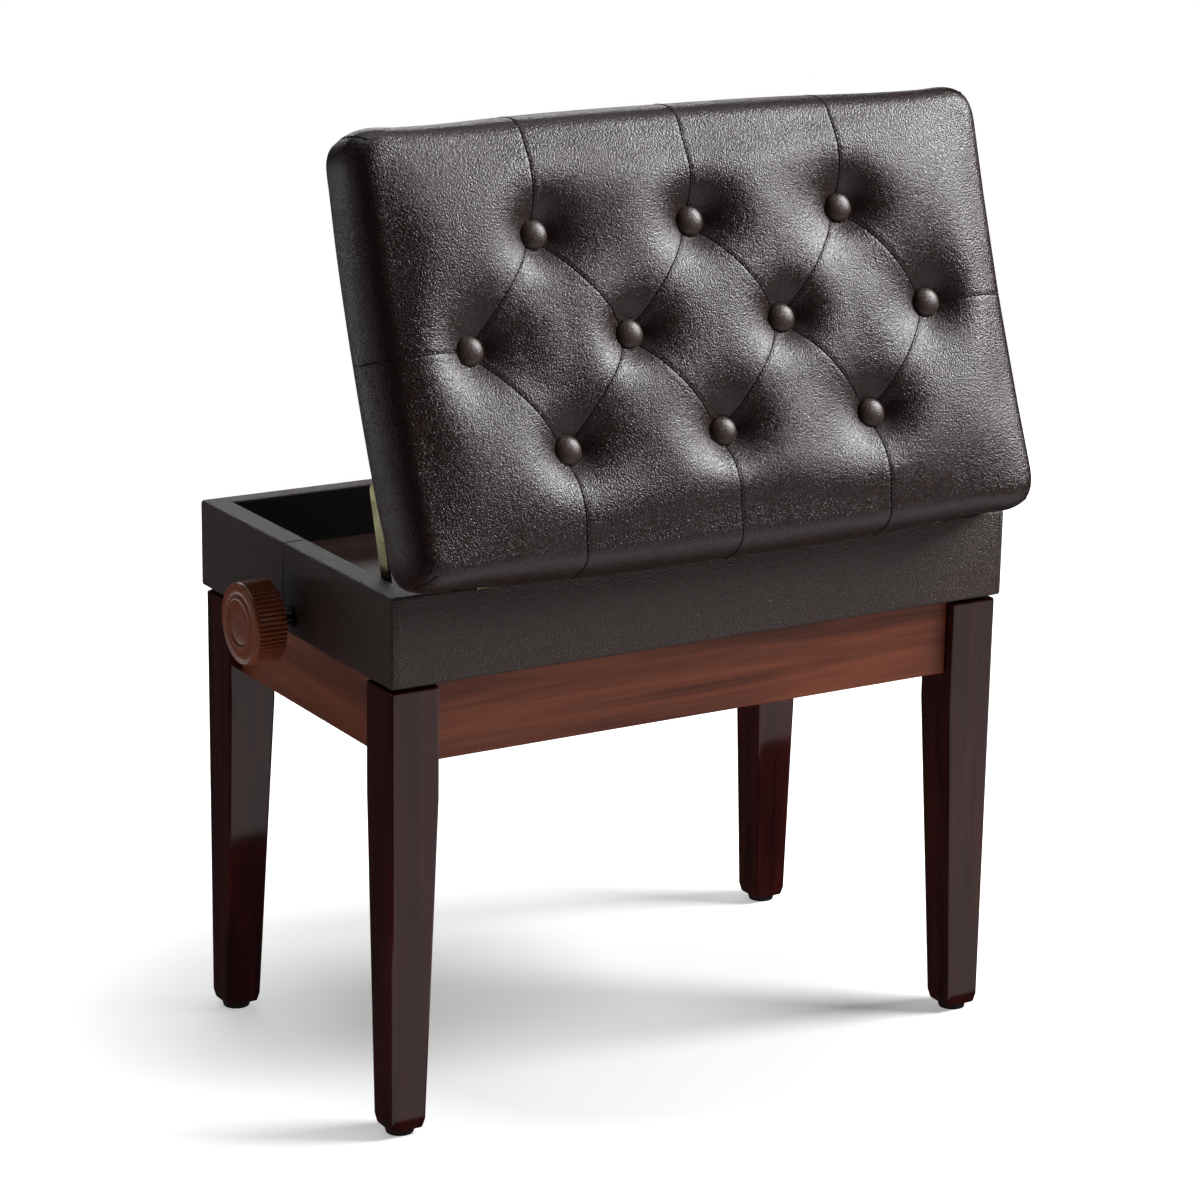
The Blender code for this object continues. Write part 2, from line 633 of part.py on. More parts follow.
def make_buttons():
    profile = [(0.0, BUTTON_HEIGHT), (BUTTON_RADIUS * 0.55, BUTTON_HEIGHT * 0.86),
               (BUTTON_RADIUS * 0.86, BUTTON_HEIGHT * 0.5), (BUTTON_RADIUS, 0.0012), (BUTTON_RADIUS, 0.0), (0.0, 0.0)]
    for number, (x, v) in enumerate(button_places(), start=1):
        add_turned("button_" + str(number), profile, (0.0, 0.0, 0.0), LID, LEATHER, (x, v, BUTTON_N), 20)


def make_lid():
    centre = (0.0, sum(BOARD_V) / 2, sum(BOARD_N) / 2)
    half_length, half_width = BOARD_HALF_LENGTH, (BOARD_V[1] - BOARD_V[0]) / 2
    add_plate("lid_board", [rounded_outline(half_length, half_width, BOARD_CORNER)], BOARD_N[1] - BOARD_N[0],
              LID, BOARD, centre)
    make_cushion()
    make_buttons()


# Butt hinges

def make_leaf(name, centre_x, parent, facing, knuckles):
    """Hinge leaf: a plate beside the barrel, with a tongue and a knuckle at each of its places."""
    low_n, high_n = sorted((facing * LEAF_N[0], facing * LEAF_N[1]))
    pitch = HINGE_LENGTH / KNUCKLES
    start = KNUCKLE_RADIUS + GAP
    leaf = add_box(name, (centre_x - HINGE_LENGTH / 2, start, low_n),
                   (centre_x + HINGE_LENGTH / 2, LEAF_DEPTH, high_n), parent, ZINC)
    for index in knuckles:
        x = centre_x + (index - (KNUCKLES - 1) / 2) * pitch
        half = pitch / 2 - GAP / 2
        tongue_name = name + "_tongue_" + str(index)
        tongue = box_mesh(tongue_name, (2 * half, start, high_n - low_n))
        add_boolean(leaf, add_cutter(tongue_name, tongue, parent, (x, start / 2 + GAP, (low_n + high_n) / 2)),
                    "UNION")
        knuckle_name = name + "_knuckle_" + str(index)
        knuckle = round_mesh(knuckle_name, ALONG_X, KNUCKLE_RADIUS, 2 * half, 16)
        add_boolean(leaf, add_cutter(knuckle_name, knuckle, parent, (x, 0.0, 0.0)), "UNION")
    bore_name = name + "_bore"
    bore = round_mesh(bore_name, ALONG_X, HINGE_PIN_RADIUS + GAP, HINGE_LENGTH * 2, 12)
    add_boolean(leaf, add_cutter(bore_name, bore, parent, (centre_x, 0.0, 0.0)))


def make_hinges():
    for word, end in ENDS.items():
        centre = end * HINGE_CENTRE_X
        make_leaf("hinge_box_leaf_" + word, centre, HINGE, -1, (0, 2, 4))
        make_leaf("hinge_lid_leaf_" + word, centre, LID, 1, (1, 3))
        add_rod("hinge_pin_" + word, ALONG_X, HINGE_PIN_RADIUS, HINGE_LENGTH, (centre, 0.0, 0.0), HINGE, ZINC, 12)


# Lid stay

def stay_layer(index):
    """Middle of a stay arm's layer, counted from the wall bracket."""
    wall = -BOX_LENGTH / 2 + END_WALL + GAP
    return wall + STAY_WALL_PLATE + (index + 0.5) * STAY_THICKNESS + (index + 1) * STAY_LAYER_GAP


def add_stay_pin(item, parent, y, z, x_from, x_to, name):
    pin = round_mesh(name, ALONG_X, STAY_PIN_RADIUS, x_to - x_from, 14)
    add_boolean(item, add_cutter(name, pin, parent, ((x_from + x_to) / 2, y, z)), "UNION")


def add_stay_head(item, parent, y, z, x, name):
    head = round_mesh(name, ALONG_X, STAY_HEAD_RADIUS, STAY_HEAD_HEIGHT, 14, STAY_HEAD_RADIUS * 0.7)
    add_boolean(item, add_cutter(name, head, parent, (x, y, z)), "UNION")


def plate_mesh_object(name, outlines, thickness, parent, material, location, facing):
    """A plate as a welded mesh, ready for Boolean modifiers."""
    plate = add_plate(name + "_outline", outlines, thickness, parent, material, location, facing)
    bpy.context.view_layer.update()
    evaluated = plate.evaluated_get(bpy.context.evaluated_depsgraph_get())
    mesh = bpy.data.meshes.new_from_object(evaluated)
    shape = bmesh.new()
    shape.from_mesh(mesh)
    bmesh.ops.remove_doubles(shape, verts=shape.verts, dist=0.000001)
    shape.to_mesh(mesh)
    shape.free()
    mesh.name = name
    solid = bpy.data.objects.new(name, mesh)
    PARTS.objects.link(solid)
    solid.parent = parent
    solid.matrix_world = plate.matrix_world
    bpy.data.objects.remove(plate, do_unlink=True)
    return solid


def make_stay():
    wall = -BOX_LENGTH / 2 + END_WALL + GAP
    arm_half = STAY_WIDTH / 2
    y, z = STAY_PIVOT
    bracket_low = (wall, y - 0.012, z - 0.009)
    bracket_high = (wall + STAY_WALL_PLATE, y + 0.012, z + 0.009)
    bracket = add_box("stay_wall_bracket", bracket_low, bracket_high, HINGE, ZINC)
    lower_x, upper_x, tab_x = (stay_layer(index) for index in range(3))
    face = STAY_THICKNESS / 2
    pin_end = lower_x + face + GAP
    add_stay_pin(bracket, HINGE, y, z, wall + GAP, pin_end + STAY_HEAD_HEIGHT / 2, "stay_wall_pin")
    add_stay_head(bracket, HINGE, y, z, pin_end + STAY_HEAD_HEIGHT / 2, "stay_wall_pin_head")
    lower = plate_mesh_object("stay_lower_arm", [stadium((0, 0), (STAY_LOWER_REACH, 0), arm_half),
                              hole(0.0, STAY_PIN_RADIUS + GAP)], STAY_THICKNESS, STAY_LOWER, ZINC,
                              (lower_x, 0.0, 0.0), FACING_X)
    rivet_end = upper_x + face + GAP
    add_stay_pin(lower, STAY_LOWER, STAY_LOWER_REACH, 0.0, lower_x, rivet_end + STAY_HEAD_HEIGHT / 2, "stay_rivet")
    add_stay_head(lower, STAY_LOWER, STAY_LOWER_REACH, 0.0, rivet_end + STAY_HEAD_HEIGHT / 2, "stay_rivet_head")
    upper = plate_mesh_object("stay_upper_arm", [stadium((0, 0), (STAY_UPPER_REACH, 0), arm_half),
                              hole(0.0, STAY_PIN_RADIUS + GAP)], STAY_THICKNESS, STAY_UPPER, ZINC,
                              (upper_x, 0.0, 0.0), FACING_X)
    tab_end = tab_x + face + GAP
    add_stay_pin(upper, STAY_UPPER, STAY_UPPER_REACH, 0.0, upper_x, tab_end + STAY_HEAD_HEIGHT / 2, "stay_lid_pin")
    make_lid_bracket(tab_x)


def make_lid_bracket(tab_x):
    """Angle under the lid whose tab has a wide hole for the upper arm's pin."""
    v, n = STAY_LID_PIVOT
    radius = STAY_PIN_RADIUS + STAY_HOLE_CLEARANCE
    half = radius + 0.0045
    top = BOARD_N[0] - GAP
    outline = [(v - half, n - half), (v + half, n - half), (v + half, top), (v - half, top)]
    tab = plate_mesh_object("stay_lid_bracket", [outline, stadium((v, n), (v, n), radius)], STAY_THICKNESS,
                            LID, ZINC, (tab_x, 0.0, 0.0), FACING_X)
    flange = box_mesh("stay_lid_flange", (0.016, 2 * half, 0.0014))
    flange_x = tab_x - STAY_THICKNESS / 2 + 0.008
    add_boolean(tab, add_cutter("stay_lid_flange", flange, LID, (flange_x, v, top - 0.0007)), "UNION")


make_leg_frame()
make_scissor()
make_drive_nut()
make_drive_screw()
make_box_panels()
make_tray_floor()
make_upper_rails()
make_lid()
make_hinges()
make_stay()
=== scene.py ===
"""Looks of the piano bench: buttoned leather seat, leather-covered box, lacquered legs and woodgrain aprons."""
import json
import math

import bmesh
import bpy
import numpy as np
from mathutils import Matrix, Vector
from mathutils.bvhtree import BVHTree


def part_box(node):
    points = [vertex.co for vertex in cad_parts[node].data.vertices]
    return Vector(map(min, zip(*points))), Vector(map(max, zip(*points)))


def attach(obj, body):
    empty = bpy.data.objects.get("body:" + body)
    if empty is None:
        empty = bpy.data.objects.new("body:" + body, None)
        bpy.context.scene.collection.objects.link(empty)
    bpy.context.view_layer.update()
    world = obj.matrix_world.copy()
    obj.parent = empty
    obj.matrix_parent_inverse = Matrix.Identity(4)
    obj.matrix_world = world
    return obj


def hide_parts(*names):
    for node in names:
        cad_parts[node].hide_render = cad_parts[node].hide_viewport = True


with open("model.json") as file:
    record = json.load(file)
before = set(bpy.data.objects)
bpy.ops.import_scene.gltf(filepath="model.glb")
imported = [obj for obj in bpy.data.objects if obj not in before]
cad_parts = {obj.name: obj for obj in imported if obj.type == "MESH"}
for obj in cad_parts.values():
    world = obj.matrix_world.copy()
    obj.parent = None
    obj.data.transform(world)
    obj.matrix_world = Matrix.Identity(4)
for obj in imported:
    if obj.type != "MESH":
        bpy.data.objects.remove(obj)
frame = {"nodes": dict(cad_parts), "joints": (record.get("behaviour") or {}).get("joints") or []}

SCENE = bpy.context.scene
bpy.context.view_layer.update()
NODES = frame["nodes"]
JOINTS = {joint["name"]: joint for joint in frame["joints"]}

# Places read from the frame
HINGE = Vector(JOINTS["lid_hinge"]["pos_m"])
LID_OPEN = -math.radians(JOINTS["lid_hinge"]["range_deg"][0])
LID_PLACE = Matrix.Translation(HINGE) @ Matrix.Rotation(LID_OPEN, 4, "X")
CENTRE_Y = JOINTS["screw_turn"]["pos_m"][1]
SCREW_Z = JOINTS["screw_turn"]["pos_m"][2]


def lid_box(node):
    """Lowest and highest corner of a lid node in the lid's own frame: x, v from the hinges, n off the board."""
    points = [LID_PLACE.inverted() @ vert.co for vert in NODES[node].data.vertices]
    low = Vector([min(point[axis] for point in points) for axis in range(3)])
    high = Vector([max(point[axis] for point in points) for axis in range(3)])
    return low, high


PAD_LOW, PAD_HIGH = lid_box("lid_cushion")
BOARD_BASE_N = lid_box("lid_board")[0].z
BUTTON_BOXES = [lid_box("button_%d" % number) for number in range(1, 11)]
BUTTON_CENTRES = [((low.x + high.x) / 2, (low.y + high.y) / 2) for low, high in BUTTON_BOXES]
BUTTON_BASE_N = BUTTON_BOXES[0][0].z
BUTTON_RADIUS = (BUTTON_BOXES[0][1].x - BUTTON_BOXES[0][0].x) / 2


# Materials

class Shader:
    """A Principled material and short helpers for its procedural nodes."""

    def __init__(self, name, roughness, metallic=0.0, specular=0.5):
        self.material = bpy.data.materials.new(name)
        self.material.use_nodes = True
        self.tree = self.material.node_tree
        self.principled = self.tree.nodes["Principled BSDF"]
        self.set("Roughness", roughness)
        self.set("Metallic", metallic)
        self.set("Specular IOR Level", specular)

    def set(self, socket, value):
        self.principled.inputs[socket].default_value = value

    def node(self, kind, **values):
        """A new node, with each value set on the socket or the property of that name."""
        node = self.tree.nodes.new(kind)
        for key, value in values.items():
            if key in node.inputs:
                node.inputs[key].default_value = value
            else:
                setattr(node, key, value)
        return node

    def link(self, source, target):
        self.tree.links.new(source, target)

    def coordinates(self, scale=(1.0, 1.0, 1.0)):
        place = self.node("ShaderNodeMapping")
        place.inputs["Scale"].default_value = scale
        self.link(self.node("ShaderNodeTexCoord").outputs["Object"], place.inputs["Vector"])
        return place.outputs["Vector"]

    def noise(self, where, scale, detail=4.0, roughness=0.5, distortion=0.0):
        node = self.node("ShaderNodeTexNoise", Scale=scale, Detail=detail, Roughness=roughness,
                         Distortion=distortion)
        self.link(where, node.inputs["Vector"])
        return node.outputs["Fac"]

    def cells(self, where, scale):
        """Rounded cells: the distance to the nearest cell's centre."""
        node = self.node("ShaderNodeTexVoronoi", Scale=scale, feature="SMOOTH_F1")
        self.link(where, node.inputs["Vector"])
        return node.outputs["Distance"]

    def ramp(self, factor, *stops):
        node = self.node("ShaderNodeValToRGB")
        elements = node.color_ramp.elements
        while len(elements) < len(stops):
            elements.new(0.5)
        for element, (position, colour) in zip(elements, stops):
            element.position = position
            element.color = (*colour, 1.0)
        self.link(factor, node.inputs["Fac"])
        return node.outputs["Color"]

    def spread(self, factor, low_in, high_in, low_out, high_out):
        """The factor, moved from one range of values to another."""
        node = self.node("ShaderNodeMapRange")
        node.inputs["From Min"].default_value = low_in
        node.inputs["From Max"].default_value = high_in
        node.inputs["To Min"].default_value = low_out
        node.inputs["To Max"].default_value = high_out
        self.link(factor, node.inputs["Value"])
        return node.outputs["Result"]

    def sum(self, first, second, weight):
        """The first factor plus the second one times its weight."""
        node = self.node("ShaderNodeMath", operation="MULTIPLY_ADD")
        self.link(second, node.inputs[0])
        node.inputs[1].default_value = weight
        self.link(first, node.inputs[2])
        return node.outputs["Value"]

    def warp(self, where, amount, scale):
        """Coordinates pushed about by a noise, so that cells and grain don't look regular."""
        node = self.node("ShaderNodeTexNoise", Scale=scale, Detail=2.0)
        self.link(where, node.inputs["Vector"])
        mix = self.node("ShaderNodeVectorMath", operation="MULTIPLY_ADD")
        self.link(node.outputs["Color"], mix.inputs[0])
        mix.inputs[1].default_value = (amount, amount, amount)
        self.link(where, mix.inputs[2])
        return mix.outputs["Vector"]

    def bump(self, height, distance, strength=1.0):
        node = self.node("ShaderNodeBump", Distance=distance, Strength=strength)
        self.link(height, node.inputs["Height"])
        self.link(node.outputs["Normal"], self.principled.inputs["Normal"])

    def colour(self, output):
        self.link(output, self.principled.inputs["Base Color"])

    def roughness(self, output):
        self.link(output, self.principled.inputs["Roughness"])


def leather(name, dark, light, grain, depth, roughness, gloss):
    """Pebbled leather: small rounded cells with fine wrinkles, darker in the creases and uneven in gloss."""
    shader = Shader(name, roughness, specular=gloss)
    where = shader.coordinates()
    warped = shader.warp(where, grain * 0.9, 0.5 / grain)
    cells = shader.cells(warped, 1.0 / grain)
    fine = shader.noise(warped, 1.6 / grain, 3.0, 0.6)
    broad = shader.noise(where, 14.0, 3.0)
    height = shader.sum(shader.spread(cells, 0.0, 0.75, 1.0, 0.0), fine, 0.45)
    shader.bump(height, depth)
    tone = shader.sum(shader.spread(height, 0.35, 1.25, 0.0, 0.8), broad, 0.25)
    shader.colour(shader.ramp(tone, (0.18, dark), (0.95, light)))
    shader.roughness(shader.spread(shader.sum(fine, broad, 1.0), 0.6, 1.4, roughness + 0.03, roughness - 0.03))
    return shader.material


def lacquer(name):
    """Deep gloss lacquer over dark stained wood, with a faint red grain under it."""
    shader = Shader(name, 0.07, specular=0.45)
    grain = shader.coordinates((70.0, 70.0, 5.0))
    streaks = shader.noise(grain, 1.0, 6.0, 0.62, 0.6)
    shader.colour(shader.ramp(streaks, (0.30, (0.0100, 0.0018, 0.0018)), (0.62, (0.0300, 0.0048, 0.0042)),
                              (0.85, (0.0460, 0.0080, 0.0064))))
    waves = shader.noise(shader.coordinates((1.0, 1.0, 0.6)), 26.0, 2.0)
    shader.bump(waves, 0.0004, 0.35)
    return shader.material


def woodgrain(name, along):
    """Satin reddish-brown grain that runs along the rail: axis 0 for the long rails, 1 for the short ones."""
    shader = Shader(name, 0.34, specular=0.22)
    where = shader.coordinates([2.6 if axis == along else 34.0 for axis in range(3)])
    warped = shader.warp(where, 0.55, 1.1)
    broad = shader.noise(warped, 1.4, 5.0, 0.55, 0.9)
    pores = shader.noise(shader.coordinates([9.0 if axis == along else 330.0 for axis in range(3)]), 1.0, 3.0, 0.6)
    tone = shader.sum(broad, pores, 0.32)
    shader.colour(shader.ramp(tone, (0.40, (0.032, 0.0076, 0.0040)), (0.60, (0.084, 0.0195, 0.0088)),
                              (0.86, (0.145, 0.0370, 0.0155))))
    shader.roughness(shader.spread(pores, 0.3, 0.7, 0.36, 0.26))
    shader.bump(pores, 0.00012, 0.5)
    return shader.material


def moulded_plastic(name, dark, light):
    """Satin plastic with a faintly clouded colour."""
    shader = Shader(name, 0.26, specular=0.24)
    tone = shader.noise(shader.coordinates(), 60.0, 3.0)
    shader.colour(shader.ramp(tone, (0.3, dark), (0.75, light)))
    fine = shader.noise(shader.coordinates(), 900.0, 2.0)
    shader.bump(fine, 0.00003, 0.30)
    shader.roughness(shader.spread(fine, 0.3, 0.7, 0.22, 0.32))
    return shader.material


def plated(name, dark, mid, light, roughness):
    """Plated steel, with clouded colour and fine scratches."""
    shader = Shader(name, roughness, 1.0)
    clouds = shader.noise(shader.coordinates(), 55.0, 4.0, 0.6, 0.8)
    shader.colour(shader.ramp(clouds, (0.32, dark), (0.5, mid), (0.72, light)))
    scratches = shader.noise(shader.coordinates((40.0, 40.0, 40.0)), 18.0, 3.0, 0.7)
    shader.roughness(shader.spread(scratches, 0.3, 0.75, roughness - 0.08, roughness + 0.12))
    shader.bump(scratches, 0.00006, 0.5)
    return shader.material


def board_stain(name):
    """Dark stained board with streaks along X."""
    shader = Shader(name, 0.55, specular=0.35)
    streaks = shader.noise(shader.coordinates((3.0, 60.0, 60.0)), 1.0, 5.0, 0.6, 0.5)
    shader.colour(shader.ramp(streaks, (0.35, (0.016, 0.006, 0.0045)), (0.7, (0.042, 0.015, 0.0100))))
    shader.bump(streaks, 0.0002, 0.5)
    return shader.material


def cloth_lining(name):
    """Black non-woven lining with a faint fibrous weave."""
    shader = Shader(name, 0.92, specular=0.15)
    fibres = shader.noise(shader.coordinates((700.0, 900.0, 700.0)), 1.0, 3.0, 0.7)
    shader.colour(shader.ramp(fibres, (0.3, (0.0015, 0.0014, 0.0014)), (0.8, (0.0065, 0.0058, 0.0056))))
    shader.bump(fibres, 0.0002, 0.7)
    return shader.material


def hard_rubber(name):
    """Near-black rubber with fine specks."""
    shader = Shader(name, 0.6, specular=0.3)
    specks = shader.noise(shader.coordinates(), 500.0, 3.0)
    shader.colour(shader.ramp(specks, (0.3, (0.006, 0.005, 0.005)), (0.8, (0.018, 0.016, 0.015))))
    shader.bump(specks, 0.0001, 0.6)
    return shader.material


def thread(name):
    """Dark twisted sewing thread."""
    shader = Shader(name, 0.75, specular=0.25)
    twist = shader.noise(shader.coordinates(), 1400.0, 2.0)
    shader.colour(shader.ramp(twist, (0.3, (0.0035, 0.0022, 0.0020)), (0.8, (0.0100, 0.0065, 0.0055))))
    return shader.material


SEAT_LEATHER = leather("seat_leather", (0.0080, 0.0024, 0.0022), (0.0260, 0.0085, 0.0085), 0.0011, 0.00034,
                       0.28, 0.56)
BUTTON_LEATHER = leather("button_leather", (0.0260, 0.0135, 0.0120), (0.0500, 0.0290, 0.0260), 0.0011, 0.00014,
                         0.36, 0.45)
BOX_LEATHER = leather("box_leather", (0.0200, 0.0092, 0.0082), (0.0420, 0.0215, 0.0195), 0.0011, 0.00065,
                      0.42, 0.48)
LACQUER = lacquer("leg_lacquer")
APRON_LONG = woodgrain("apron_wood_long", 0)
APRON_SHORT = woodgrain("apron_wood_short", 1)
KNOB_PLASTIC = moulded_plastic("knob_plastic", (0.115, 0.0290, 0.0120), (0.150, 0.0380, 0.0165))
ZINC = plated("yellow_zinc", (0.10, 0.10, 0.050), (0.22, 0.21, 0.10), (0.36, 0.34, 0.20), 0.30)
STEEL = plated("plain_zinc", (0.30, 0.30, 0.31), (0.48, 0.48, 0.50), (0.62, 0.62, 0.64), 0.36)
# Near-black steel for the screw rod and its bushings: the dark colour is painted shade for the shaded gap behind the
# knobs.
SHADE_DARK_STEEL = plated("black_oxide", (0.020, 0.019, 0.019), (0.034, 0.032, 0.031), (0.055, 0.052, 0.050),
                     0.42)
BOARD_STAIN = board_stain("board_stain")
LINING = cloth_lining("black_lining")
RUBBER = hard_rubber("glide_rubber")
THREAD = thread("dark_thread")


# Mesh helpers

def add_piece(name, shape, materials, place=None, smooth_angle=40.0):
    """A new object from a bmesh, shaded smooth but for its sharp edges."""
    mesh = bpy.data.meshes.new(name)
    bmesh.ops.recalc_face_normals(shape, faces=shape.faces)
    shape.to_mesh(mesh)
    shape.free()
    for material in materials:
        mesh.materials.append(material)
    mesh.shade_smooth()
    if smooth_angle < 180.0:
        mesh.set_sharp_from_angle(angle=math.radians(smooth_angle))
    piece = bpy.data.objects.new(name, mesh)
    SCENE.collection.objects.link(piece)
    if place is not None:
        piece.matrix_world = place
    return piece


def add_wire(name, paths, radius, material, place, roundness):
    """Round wire or thread along each path, as one curve object with filled ends."""
    curve = bpy.data.curves.new(name, "CURVE")
    curve.dimensions = "3D"
    curve.bevel_depth = radius
    curve.bevel_resolution = roundness
    curve.use_fill_caps = True
    for path in paths:
        spline = curve.splines.new("POLY")
        spline.points.add(len(path) - 1)
        for point, at in zip(spline.points, path):
            point.co = (*at, 1.0)
    curve.materials.append(material)
    wire = bpy.data.objects.new(name, curve)
    SCENE.collection.objects.link(wire)
    if place is not None:
        wire.matrix_world = place
    return wire


def bake_modifiers(piece):
    """Replaces the piece's mesh with its evaluated one and clears its modifiers."""
    evaluated = piece.evaluated_get(bpy.context.evaluated_depsgraph_get())
    mesh = bpy.data.meshes.new_from_object(evaluated)
    piece.modifiers.clear()
    piece.data = mesh


def finish_piece(piece, body, slot, *replaced):
    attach(piece, body)
    if replaced:
        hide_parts(*replaced)


def ring_angles(segments):
    return [2 * math.pi * step / segments for step in range(segments)]


def add_ring(shape, place, radius, level, segments):
    """Ring of points round a place's Z axis; with no radius, the one point on the axis."""
    if radius == 0.0:
        return [shape.verts.new(place @ Vector((0.0, 0.0, level)))]
    return [shape.verts.new(place @ Vector((radius * math.cos(angle), radius * math.sin(angle), level)))
            for angle in ring_angles(segments)]


def join_rings(shape, rings):
    """Faces between each ring and the next one; the first ring may be a single point."""
    for inner, outer in zip(rings, rings[1:]):
        for step in range(len(outer)):
            if len(inner) == 1:
                shape.faces.new((inner[0], outer[step - 1], outer[step]))
            else:
                shape.faces.new((inner[step - 1], outer[step - 1], outer[step], inner[step]))


def add_turned(shape, place, profile, radius, height, segments=24):
    """Closed turned form; its profile holds (share of radius, share of height) points from the tip outwards."""
    rings = [add_ring(shape, place, radius * share, height * level, segments) for share, level in profile]
    join_rings(shape, rings)
    shape.faces.new(rings[-1])


# Padded seat
# The pad is built in the lid's own frame: _V names are distances from the hinges, _N names are heights off the board.

CELL = 0.0052
EDGE_ROLL = 0.019
CORNER_RADIUS = 0.011
CORNER_SQUARENESS = 4.0
SIDE_BASE_INSET = 0.0035
PAD_BASE_N = 0.0020
PAD_EDGE_N = 0.0500
PAD_CROWN = 0.0095
WELL_DEPTH_N = BUTTON_BASE_N - 0.0005
WELL_REACH = 0.025
WELL_BLEND = 2.2
ROLL_STEPS = 6
SIDE_STEPS = 5
SIDE_SHARE = 0.52
STAPLED_HEIGHT = 0.004
PIN_RADIUS = BUTTON_RADIUS * 0.85
PAD_FINENESS = 2
SIM_FRAMES = 16
SIM_CAP = 0.0045
SIM_SMOOTHING = 24
SEAM_CREASE = 0.00055
SEAM_CREASE_WIDTH = 0.0014
PLEAT_REACH = 0.024
THREAD_RADIUS = 0.00050
STITCH_PITCH = 0.0036
STITCH_SHAPE = ((0.06, -0.4), (0.3, 0.75), (0.7, 0.75), (0.94, -0.4))
BUTTON_RIM = BUTTON_RADIUS * 0.9
SEAM_SAMPLES = 60
TURN_OVER_SAMPLES = 25
TURN_OVER_ANGLE = 118
OUTSIDE_PAD = 0.12

TOP_HALF_X = PAD_HIGH.x - EDGE_ROLL
TOP_HALF_V = (PAD_HIGH.y - PAD_LOW.y) / 2 - EDGE_ROLL
PAD_MID_V = (PAD_HIGH.y + PAD_LOW.y) / 2


def rounded(x, v):
    """Moves a point of the top's rectangle so that the rectangle's corners become arcs."""
    over_x = abs(x) - (TOP_HALF_X - CORNER_RADIUS)
    over_v = abs(v) - (TOP_HALF_V - CORNER_RADIUS)
    if over_x <= 0 or over_v <= 0:
        return x, v
    p = over_x / CORNER_RADIUS
    q = over_v / CORNER_RADIUS
    p, q = p * math.sqrt(1 - q * q / 2), q * math.sqrt(1 - p * p / 2)
    return (math.copysign(TOP_HALF_X - CORNER_RADIUS * (1 - p), x),
            math.copysign(TOP_HALF_V - CORNER_RADIUS * (1 - q), v))


def plan_outward(x, v):
    """Direction out of the top's outline at one of its points, longer at the corners to keep them square."""
    over_x = max(abs(x) - (TOP_HALF_X - CORNER_RADIUS), 0.0)
    over_v = max(abs(v) - (TOP_HALF_V - CORNER_RADIUS), 0.0)
    length = (over_x ** CORNER_SQUARENESS + over_v ** CORNER_SQUARENESS) ** (1 / CORNER_SQUARENESS)
    return Vector((math.copysign(over_x, x), math.copysign(over_v, v))) / length


def button_pull(x, v):
    """How far the leather is drawn down towards the nearest buttons, from 0 to 1."""
    total = 0.0
    for centre_x, centre_v in BUTTON_CENTRES:
        distance = math.hypot(x - centre_x, v + PAD_MID_V - centre_v)
        reach = max(distance - BUTTON_RIM, 0.0) / WELL_REACH
        total += math.exp(-WELL_BLEND * reach)
    return min(total ** (1 / WELL_BLEND), 1.0)


def top_height(x, v):
    """Height of the pad's top: a crown over the whole seat, drawn down into a well at each button."""
    crown = (1 - (x / TOP_HALF_X) ** 4) * (1 - (v / TOP_HALF_V) ** 4)
    level = PAD_EDGE_N + PAD_CROWN * max(crown, 0.0)
    return level + (WELL_DEPTH_N - level) * button_pull(x, v)


def edge_section():
    """Rings outside the top: how far out each one is, and its height as a share of the edge's height."""
    rings = []
    for step in range(1, ROLL_STEPS + 1):
        angle = math.radians(90 - 90 * step / ROLL_STEPS)
        rings.append((EDGE_ROLL * math.cos(angle) ** 0.9, SIDE_SHARE + (1 - SIDE_SHARE) * math.sin(angle) ** 0.95))
    for step in range(1, SIDE_STEPS + 1):
        share = step / SIDE_STEPS
        rings.append((EDGE_ROLL - SIDE_BASE_INSET * share ** 1.6, SIDE_SHARE * (1 - share)))
    return rings


def make_pad_mesh():
    """Top grid with rounded plan corners, and rings that roll over the edge and down to the board's underside."""
    columns = round(2 * TOP_HALF_X / CELL)
    rows = round(2 * TOP_HALF_V / CELL)
    shape = bmesh.new()
    grid = []
    for row in range(rows + 1):
        line = []
        for column in range(columns + 1):
            x, v = rounded(TOP_HALF_X * (2 * column / columns - 1), TOP_HALF_V * (2 * row / rows - 1))
            line.append(shape.verts.new((x, v + PAD_MID_V, top_height(x, v))))
        grid.append(line)
    for low_line, high_line in zip(grid, grid[1:]):
        for column in range(columns):
            shape.faces.new((low_line[column], low_line[column + 1], high_line[column + 1], high_line[column]))
    rim = grid[0][:-1] + [line[-1] for line in grid[:-1]] + grid[-1][:0:-1] + [line[0] for line in grid[:0:-1]]
    rings = [rim]
    for out, height in edge_section():
        ring = []
        for vert in rim:
            direction = plan_outward(vert.co.x, vert.co.y - PAD_MID_V)
            level = PAD_BASE_N + (vert.co.z - PAD_BASE_N) * height
            ring.append(shape.verts.new((vert.co.x + direction.x * out, vert.co.y + direction.y * out, level)))
        rings.append(ring)
    join_rings(shape, rings)
    return shape


def pin_weights(piece):
    """Holds the leather where it is stapled under the board and where the buttons tie it down."""
    group = piece.vertex_groups.new(name="pinned")
    for vert in piece.data.vertices:
        at_button = any(math.hypot(vert.co.x - x, vert.co.y - v) < PIN_RADIUS for x, v in BUTTON_CENTRES)
        if vert.co.z < PAD_BASE_N + STAPLED_HEIGHT or (at_button and vert.co.z > WELL_DEPTH_N - 0.002):
            group.add([vert.index], 1.0, "REPLACE")
    return group.name


